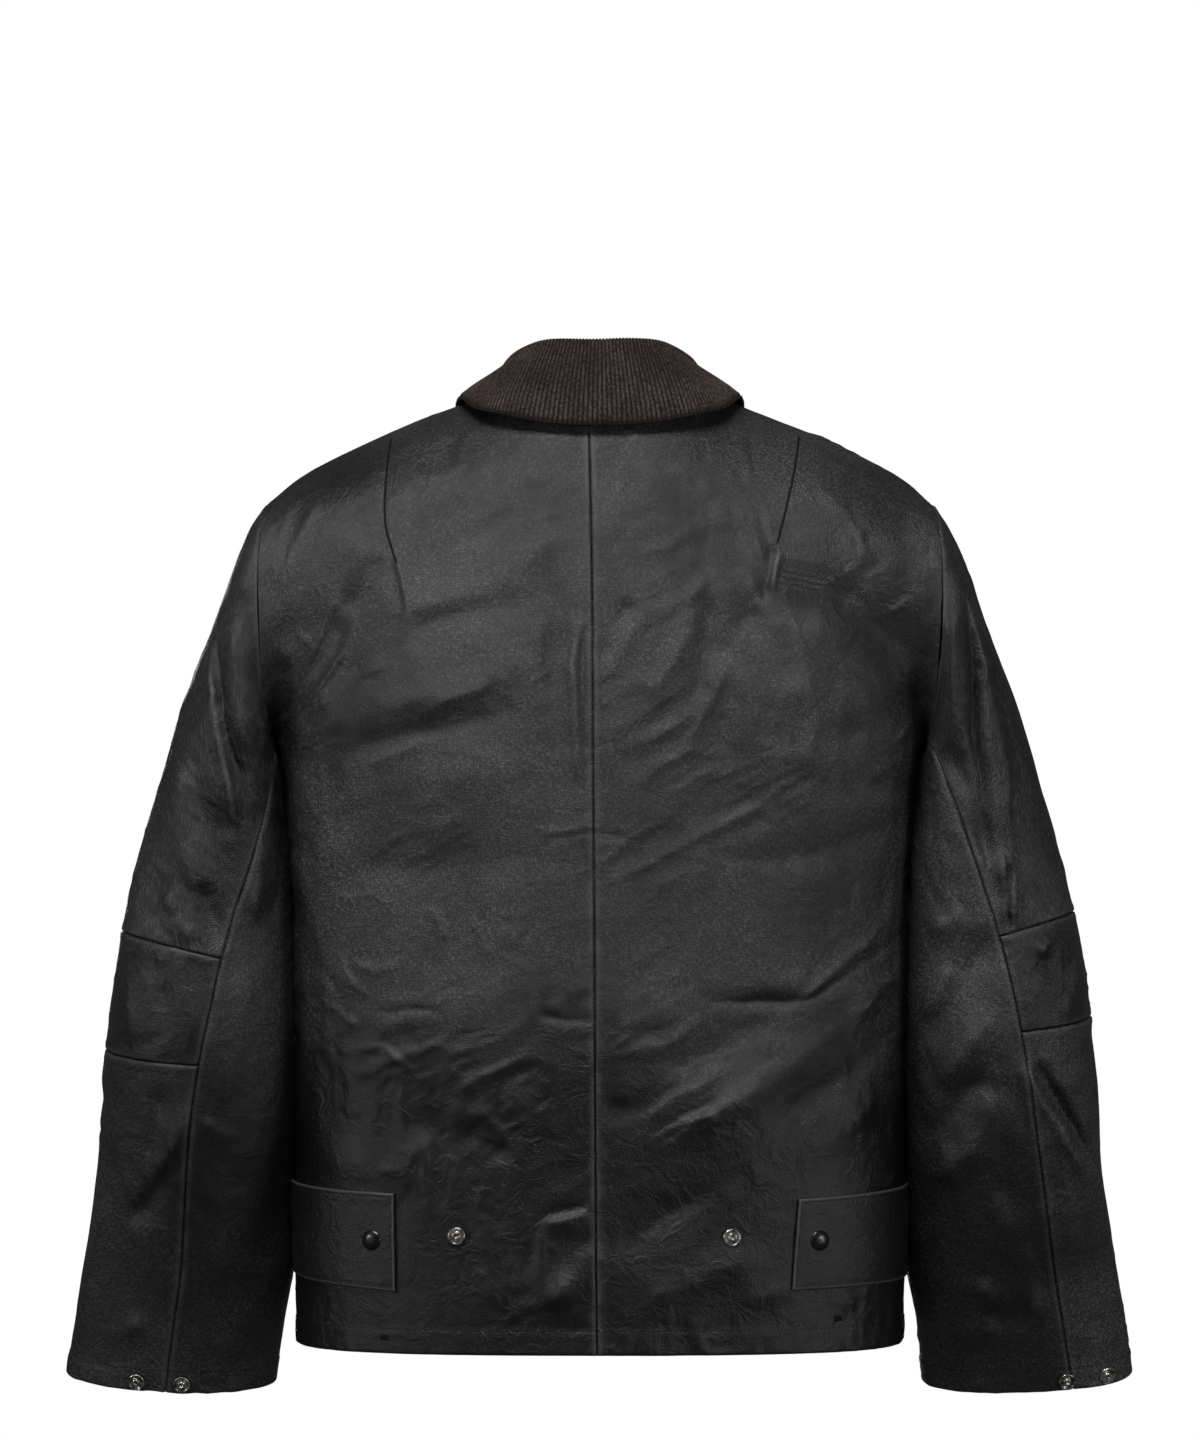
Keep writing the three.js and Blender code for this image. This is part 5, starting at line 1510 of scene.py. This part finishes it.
@dataclass
class Body:
    """The back, in two halves, and the two fronts, the right one over the left."""

    rows_below: float = 0.62

    def level(self, v: Array) -> tuple[Array, Array]:
        """The height below the armhole and the turn above it, by the share up the panel."""
        z = HEM_Z + (ARMHOLE_BOTTOM - HEM_Z) * np.clip(v / self.rows_below, 0, 1)
        turn = math.pi * np.clip((v - self.rows_below) / (1 - self.rows_below), 0, 1)
        return z, turn

    def seam_share(self, face: Face, v: Array) -> Array:
        """Where the centre back seam runs, or the edge of a lap."""
        z, turn = self.level(v)
        line = BACK_LINE if face is Face.BACK else FRONT_LINE
        height = np.where(turn > 0, line.read("z", turn / math.pi), z)
        return CENTRE_SEAM.read("x", height) / PANEL_WIDTH

    def back(self, side: Side) -> Callable[[Array, Array], Array]:
        """The form of one half of the back."""

        def form(u: Array, v: Array) -> Array:
            """Gives the folded points of the half."""
            z, turn = self.level(v)
            start = self.seam_share(Face.BACK, v)
            across = start + (side.value - start) * u
            return folded(torso_form(Face.BACK, across, z, turn), 0, BACK_FOLDS)

        return form

    def front(self, side: Side) -> Callable[[Array, Array], Array]:
        """The form of one front, with the lower one stepped in where they lap."""

        def form(u: Array, v: Array) -> Array:
            """Gives the folded points of the front."""
            z, turn = self.level(v)
            start = -side.value * LAP / PANEL_WIDTH
            across = start + (side.value - start) * u
            points = folded(torso_form(Face.FRONT, across, z, turn), 0, BACK_FOLDS)
            if side is Side.LEFT:
                share = smooth(across, *LAP_BEND)
                down = np.where(turn > 0, -CHEST_SLOPE * points[..., 1], 0)
                inward = np.stack([-points[..., 0], -points[..., 1], down], -1)
                inward /= np.linalg.norm(inward, axis=-1, keepdims=True)
                points = points + inward * (LAP_STEP * share)[..., None]
            return points

        return form

    def build(self, finishes: Finishes) -> None:
        """Makes the four panels and their sewing."""
        edges = (Sewn.SEAM, Sewn.SIDE, Sewn.HEM, Sewn.COVERED)
        panels = (("back", self.back, (265, 690), 2.05, 100), ("front", self.front, (285, 650), 5.8, 180))
        sewing = Sewing()
        for side in Side:
            for name, form, size, cell, seed in panels:
                node = f"{name}_{side.name.lower()}"
                seed += 0 if side is Side.LEFT else 40
                sheet = Cloth(node, form(side), (0, 0, -330), size, cell, edges, seed).build(finishes)
                sewing.stitches(Run.beside(sheet, 2, HEM_BAND))
                if name == "back":
                    # Painted shade: a dark cord along each dart stands for the shade in its crease.
                    sewing.line(Run.on(sheet, DARTS[side]), 0.85, 0.6)
                    sewing.bar(Run.on(sheet, BAR_TACKS[side]))
                    if side is Side.LEFT:
                        sewing.stitches(Run.beside(sheet, 0, 1.5, (20, 22)), 3.0, 0.6, 0.3)
                sewing.build(node + "_sewing", finishes.thread)


@dataclass
class Sleeve:
    """One sleeve: an upper part, an elbow panel and a forearm over one under sleeve."""

    side: Side

    def seam_turn(self, along: Array) -> Array:
        """The turn of the back seam."""
        return np.radians(SLEEVE_SEAM[self.side].read("turn", along))

    def top(self, start: float, end: float) -> Callable[[Array, Array], Array]:
        """The form of a part of the top sleeve between two places along it."""

        def form(u: Array, v: Array) -> Array:
            """Gives the folded points of the part."""
            along = start + (end - start) * v
            first = -math.radians(FRONT_SEAM_TURN)
            turn = first + (self.seam_turn(along) - first) * u
            points, middle = sleeve_form(self.side, along, turn)
            return folded(points, middle, SLEEVE_FOLDS, SLEEVE_DEPTH)

        return form

    def under(self, u: Array, v: Array) -> Array:
        """Gives the folded points of the under sleeve."""
        along = 100 * v
        start = self.seam_turn(along)
        end = 2 * math.pi - math.radians(FRONT_SEAM_TURN)
        points, middle = sleeve_form(self.side, along, start + (end - start) * u)
        return folded(points, middle, SLEEVE_FOLDS, SLEEVE_DEPTH)

    def build(self, finishes: Finishes) -> None:
        """Makes the four panels of the sleeve and their sewing."""
        word = self.side.name.lower()
        start, end = ELBOW[self.side]
        seed = 300 if self.side is Side.LEFT else 400
        # Painted light: each part's pair is how pale it is painted low down and high up; the forearms are
        # painted paler for the light they lose as they lean.
        forearm_bloom_and_light = (0.85, 0.9) if self.side is Side.LEFT else (1.3, 1.3)
        parts = (
            ("sleeve_upper_", self.top(0, start), (262, -5, -230), (270, 330), 2.5, (0.3, 0.72), -76),
            ("elbow_", self.top(start, end), (282, -17, -415), (240, 74), 2.2, (0.34, 0.38), -20),
            ("forearm_", self.top(end, 100), (290, 10, -560), (200, 240), 2.5, forearm_bloom_and_light, -58),
            ("undersleeve_", self.under, (290, -15, -420), (150, 450), 3.0, (0.6, 0.8), -66),
        )
        sewing = Sewing()
        for k, (name, form, (x, y, z), size, cell, bloom, slant) in enumerate(parts):
            last = Sewn.SEAM if k < 2 else Sewn.HEM
            inside = (self.side.value * x, y, z)
            edges = (Sewn.SEAM, Sewn.SEAM, Sewn.SEAM, last)
            slope = self.side.value * slant
            part = Cloth(name + word, form, inside, size, cell, edges, seed + 20 * k, bloom, slope)
            sheet = part.build(finishes)
            if last is Sewn.HEM:
                sewing.stitches(Run.beside(sheet, 3, HEM_BAND))
            if name == "undersleeve_":
                sewing.stitches(Run.beside(sheet, 0, 1.5, (6, 18)), 3.0, 0.6, 0.3)
                if self.side is Side.RIGHT:
                    # Painted shade: a dark cord along the inner seam stands for the shade in its crease.
                    sewing.line(Run.on(sheet, INNER_SEAM), 0.7, 0.5)
        sewing.build("sleeve_sewing_" + word, finishes.thread)


@dataclass
class Collar:
    """The corduroy collar, with its stand and its turned-down fall in one."""

    pitch: float = 3.1
    steps_per_wale: int = 5
    wale_high: float = 0.9
    radius: float = 4.6
    bow: float = 3.0
    lift: float = 1.1
    set_in: float = 0.7

    def mirrored(self, table: Table) -> Table:
        """The table for both halves, so that the middle has no kink."""
        left = tuple((-at, -x, y, z) for at, x, y, z in reversed(table.rows[1:]))
        return Table(table.columns, left + table.rows)

    def form(self, column: Array, share: Array) -> Array:
        """The collar's points.

        Args:
            column: from -9.4 at the left front to 9.4 at the right front.
            share: 0 to 1 up the fall, 1 to 2 over the fold and 2 to 3 down the stand.

        Returns:
            The points.
        """
        fold_table, edge_table = self.mirrored(COLLAR_FOLD), self.mirrored(COLLAR_EDGE)
        fold = np.stack([fold_table.read(axis, column) for axis in "xyz"], -1)
        edge = np.stack([edge_table.read(axis, column) for axis in "xyz"], -1)
        across = np.abs(column)
        back = top_line(Face.BACK, across / 14)
        front = top_line(Face.FRONT, (10 - across) / 14)
        neck = np.where((across <= 5)[..., None], back, front)
        neck[..., 0] *= np.where(column < 0, -1.0, 1.0)
        outward = fold * np.array([1, 1, 0])
        outward /= np.linalg.norm(outward, axis=-1, keepdims=True)
        neck = neck - outward * (2.2 + self.set_in) + np.array([0, 0, self.lift])
        middle = fold - np.array([0, 0, self.radius])
        angle = np.clip(share - 1, 0, 1) * math.pi
        arc = middle + outward * (self.radius * np.cos(angle))[..., None]
        arc[..., 2] += self.radius * np.sin(angle)
        fall_share = np.clip(share, 0, 1)[..., None]
        out_edge = middle + outward * self.radius
        fall = edge + (out_edge - edge) * fall_share + outward * self.bow * np.sin(math.pi * fall_share)
        in_edge = middle - outward * self.radius
        stand = in_edge + (neck - in_edge) * np.clip(share - 2, 0, 1)[..., None]
        return np.where((share < 1)[..., None], fall, np.where((share < 2)[..., None], arc, stand))

    def build(self, finishes: Finishes) -> bpy.types.Object:
        """Makes the collar with its wales."""
        fine = np.linspace(-COLLAR_END, COLLAR_END, 1200)[None, :]
        middle_line = self.form(fine, np.full(fine.shape, 0.5))
        length = lengths_along(middle_line, 1)[0]
        wales = int(round(length[-1] / self.pitch))
        place = np.linspace(0, length[-1], wales * self.steps_per_wale + 1)
        column = np.interp(place, length, fine[0])
        shares = np.concatenate(
            [
                np.array([0, 0.01, 0.025, 0.045, 0.07]),
                np.linspace(0.1, 1, 18),
                np.linspace(1, 2, 8)[1:],
                np.linspace(2, 3, 7)[1:],
            ]
        )
        u, v = np.meshgrid(column, shares)
        base = self.form(u, v)
        normal = normals_of(base, np.array([0.0, -20.0, 0.0]))
        phase = np.pi * place / self.pitch
        profile = np.abs(np.sin(phase)) ** 1.1
        along = lengths_along(base, 0)
        across = lengths_along(base, 1)
        stitched = np.exp(-(((along - 2.4) / 0.9) ** 2))
        # The wale mark also drops at the stitched line and at the edge, so these are painted darker:
        # painted shade in the stitched groove, and at the edge partly the dark under collar.
        flat = (1 - 0.75 * stitched) * smooth(along, 0.4, 2.2)
        wale = np.broadcast_to(profile, u.shape) * flat
        relief = self.wale_high * (wale - 1) - 0.8 * np.clip(1 - along / 1.8, 0, 1) ** 2 - 0.35 * stitched
        relief += 0.5 * pucker(across, along, 11, 71) * np.exp(-along / 12)
        relief += 0.7 * grain(base, 30, 72)
        points = base + normal * relief[..., None]
        cut = np.stack([across, along], -1)
        lower = np.exp(-(((along - 14) / 11) ** 2)) * 0.5 + 0.1
        marks = {"wale": np.clip(wale, 0, 1), "wear": lower}
        sheet = Sheet("collar", points, cut, marks, CORDUROY, normal)
        piece = sheet.build(finishes.corduroy)
        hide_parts("collar")
        sewing = Sewing()
        sewing.stitches(Run.beside(sheet, 2, 2.4), 3.0, 0.7, 0.42)
        sewing.build("collar_sewing", finishes.thread)
        LOG.info("collar: %d wales", wales)
        return piece


@dataclass
class Tab:
    """A strap on the back above the hem, from the side to its snap cap."""

    side: Side
    top: tuple[float, float]
    bottom: tuple[float, float]
    side_top: float
    side_bottom: float
    start: float = 0.91
    lift: float = 2.8

    def place_across(self, x: Array, z: float) -> Array:
        """The share across the back whose point has the given x."""
        across = x / ARMHOLE_LOW_X
        for _ in range(40):
            reached = torso_form(Face.BACK, across, np.full(x.shape, z), np.zeros(x.shape))
            across = across + (x - reached[..., 0]) / 300
        return across

    def build(self, finishes: Finishes) -> bpy.types.Object:
        """Makes the tab on the back's own form, moved out."""
        u, v = np.meshgrid(stops(62, 2.2), stops(68, 2.2))
        x_end = self.bottom[0] + (self.top[0] - self.bottom[0]) * v
        end = self.place_across(x_end, -580.0)
        across = self.side.value * self.start + (end - self.side.value * self.start) * u
        low = self.side_bottom + (self.bottom[1] - self.side_bottom) * u
        high = self.side_top + (self.top[1] - self.side_top) * u
        z = low + (high - low) * v
        base = folded(torso_form(Face.BACK, across, z, np.zeros(z.shape)), 0, BACK_FOLDS)
        normal = normals_of(base, np.array([0.0, 0.0, -580.0]))
        wide = lengths_along(base, 1)
        tall = lengths_along(base, 0)
        away = (wide[:, -1:] - wide, tall, tall[-1:] - tall)
        beside = (tall, wide, wide)
        relief = np.full(u.shape, self.lift)
        near = np.full(u.shape, 1e3)
        for k in range(3):
            near = np.minimum(near, away[k])
            relief += 0.3 * pucker(beside[k], away[k], 8, 500 + 5 * k) * np.exp(-away[k] / 6)
        relief -= 0.9 * np.clip(1 - near / 1.6, 0, 1) ** 2
        relief -= 0.35 * np.exp(-(((near - 2.8) / 0.9) ** 2))
        relief += 0.35 * grain(base, 16, 510)
        points = base + normal * relief[..., None]
        worn = 0.45 * np.exp(-(((near - 0.9) / 0.8) ** 2))
        cut = np.stack([wide, tall], -1)
        name = "tab_" + self.side.name.lower()
        # The tab gets a low, even painted light, like the low back round it.
        marks = {"wear": worn, "bloom": np.full(u.shape, 0.15)}
        sheet = Sheet(name, points, cut, marks, CLOTH, normal)
        piece = sheet.build(finishes.cotton)
        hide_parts(name)
        sewing = Sewing()
        for edge, free in ((1, (2.8, 2.8)), (2, (0, 2.8)), (3, (0, 2.8))):
            sewing.stitches(Run.beside(sheet, edge, 2.8, free), 2.6, 0.7, 0.36)
        sewing.build(name + "_sewing", finishes.thread)
        LOG.info("%s: laid on the back", name)
        return piece


@dataclass(frozen=True)
class Snap:
    """A turned snap part: its node and its half section as radius and height."""

    node: str
    profile: tuple[tuple[float, float], ...]
    slot: str
    finish: bpy.types.Material
    lift: float = 0.0

    def build(self) -> bpy.types.Object:
        """Turns the section, and sets it on its node's own place and direction."""
        low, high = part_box(self.node)
        centre = (low + high) / 2
        source = bpy.data.objects[self.node] if self.node in bpy.data.objects else None
        axis = self.direction(source) if source else Vector((0, -1, 0))
        bm = bmesh.new()
        verts = [bm.verts.new((radius * MM, 0, height * MM)) for radius, height in self.profile]
        edges = [bm.edges.new(pair) for pair in zip(verts, verts[1:])]
        bmesh.ops.spin(
            bm,
            geom=verts + edges,
            cent=(0, 0, 0),
            axis=(0, 0, 1),
            angle=math.tau,
            steps=40,
            use_merge=True,
            use_duplicate=False,
        )
        bmesh.ops.remove_doubles(bm, verts=bm.verts, dist=1e-6)
        bmesh.ops.recalc_face_normals(bm, faces=bm.faces)
        turn = Vector((0, 0, 1)).rotation_difference(axis).to_matrix().to_4x4()
        height = self.profile[-1][1] * MM
        place = Matrix.Translation(centre + axis * (self.lift * MM - height / 2))
        bmesh.ops.transform(bm, matrix=place @ turn, verts=bm.verts)
        piece = to_object(bm, self.node + "_turned", self.finish)
        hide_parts(self.node)
        return piece

    def direction(self, source: bpy.types.Object) -> Vector:
        """The direction of the node's flat underside, turned to face out."""
        largest = Vector((0, 0, 0))
        for polygon in source.data.polygons:
            if polygon.area > 0:
                largest += polygon.normal * polygon.area**2
        out = 1.0 if self.node.startswith("front") else -1.0
        return largest.normalized() * math.copysign(1.0, largest.y * out)


def studio() -> None:
    """Adds the camera behind the jacket, soft lights and a white surround."""
    camera = bpy.data.cameras.new("Camera")
    camera.lens = 159.3
    camera.sensor_width = 36
    holder = bpy.data.objects.new("Camera", camera)
    holder.location = (0, -4.5, -0.219)
    holder.rotation_euler = (math.radians(90), 0, 0)
    bpy.context.scene.collection.objects.link(holder)
    bpy.context.scene.camera = holder

    lamps = (
        ("Overhead", (-0.3, -1.4, 1.35), (1.3, 0.6), 36.0),
        ("Front left", (-2.9, -2.0, 0.1), (0.9, 0.9), 19.0),
        ("Front right", (2.7, -2.4, -0.2), (0.9, 0.9), 23.0),
        ("Far side", (-0.3, 3.2, -0.35), (1.4, 1.0), 34.0),
    )
    for name, place, size, power in lamps:
        lamp = bpy.data.lights.new(name, "AREA")
        lamp.shape = "RECTANGLE"
        lamp.size, lamp.size_y = size
        lamp.energy = power
        lamp_object = bpy.data.objects.new(name, lamp)
        lamp_object.location = place
        lamp_object.visible_camera = False
        aim = Vector((0, -0.05, -0.25)) - Vector(place)
        lamp_object.rotation_euler = aim.to_track_quat("-Z", "Y").to_euler()
        bpy.context.scene.collection.objects.link(lamp_object)

    world = bpy.data.worlds.new("Pale room")
    world.use_nodes = True
    nodes, links = world.node_tree.nodes, world.node_tree.links
    ground = nodes["Background"]
    ground.inputs["Color"].default_value = (1, 1, 1, 1)
    ground.inputs["Strength"].default_value = 0.075
    seen = nodes.new("ShaderNodeBackground")
    seen.inputs["Color"].default_value = (1, 1, 1, 1)
    seen.inputs["Strength"].default_value = 1.0
    ray = nodes.new("ShaderNodeLightPath")
    mix = nodes.new("ShaderNodeMixShader")
    links.new(ray.outputs["Is Camera Ray"], mix.inputs["Fac"])
    links.new(ground.outputs[0], mix.inputs[1])
    links.new(seen.outputs[0], mix.inputs[2])
    links.new(mix.outputs[0], nodes["World Output"].inputs["Surface"])
    bpy.context.scene.world = world
    bpy.context.scene.view_settings.view_transform = "Standard"


CAP_PROFILE = (
    (0, 0),
    (6.6, 0),
    (7.0, 0.35),
    (7.0, 0.8),
    (6.7, 1.15),
    (5.9, 1.55),
    (4.6, 2.05),
    (3.0, 2.4),
    (1.4, 2.57),
    (0, 2.6),
)
STUD_PROFILE = (
    (0, 0),
    (6.0, 0),
    (6.2, 0.3),
    (6.2, 0.8),
    (5.9, 1.2),
    (5.4, 1.45),
    (4.9, 1.3),
    (4.5, 0.6),
    (4.3, 0.25),
    (3.3, 0.2),
    (2.9, 0.3),
    (2.75, 1.5),
    (2.4, 2.1),
    (1.7, 2.2),
    (1.3, 2.0),
    (1.1, 1.2),
    (0, 1.1),
)


def main() -> None:
    """Builds the jacket piece by piece on the frame."""
    logging.basicConfig(level=logging.INFO, format="%(name)s: %(message)s")
    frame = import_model()
    LOG.info("frame with %d nodes", len(frame["nodes"]))
    studio()
    finishes = Finishes.make()
    Body().build(finishes)
    for side in Side:
        Sleeve(side).build(finishes)
    Collar().build(finishes)
    Tab(Side.LEFT, (-141, -546), (-142, -614), -542, -607).build(finishes)
    Tab(Side.RIGHT, (136, -550), (133, -613), -544, -610).build(finishes)
    caps = ["tab_cap_left", "tab_cap_right"] + [f"front_snap_{k}" for k in range(1, 7)]
    studs = ["stud_left", "stud_right"] + [f"cuff_stud_{s.name.lower()}_{k}" for s in Side for k in (1, 2)]
    for node in caps:
        Snap(node, CAP_PROFILE, "dark_snap", finishes.dark_snap).build()
    for node in studs:
        lift = 1.2 if node.startswith("cuff") else 0.3
        Snap(node, STUD_PROFILE, "bright_snap", finishes.bright_snap, lift).build()


if __name__ == "__main__":
    main()
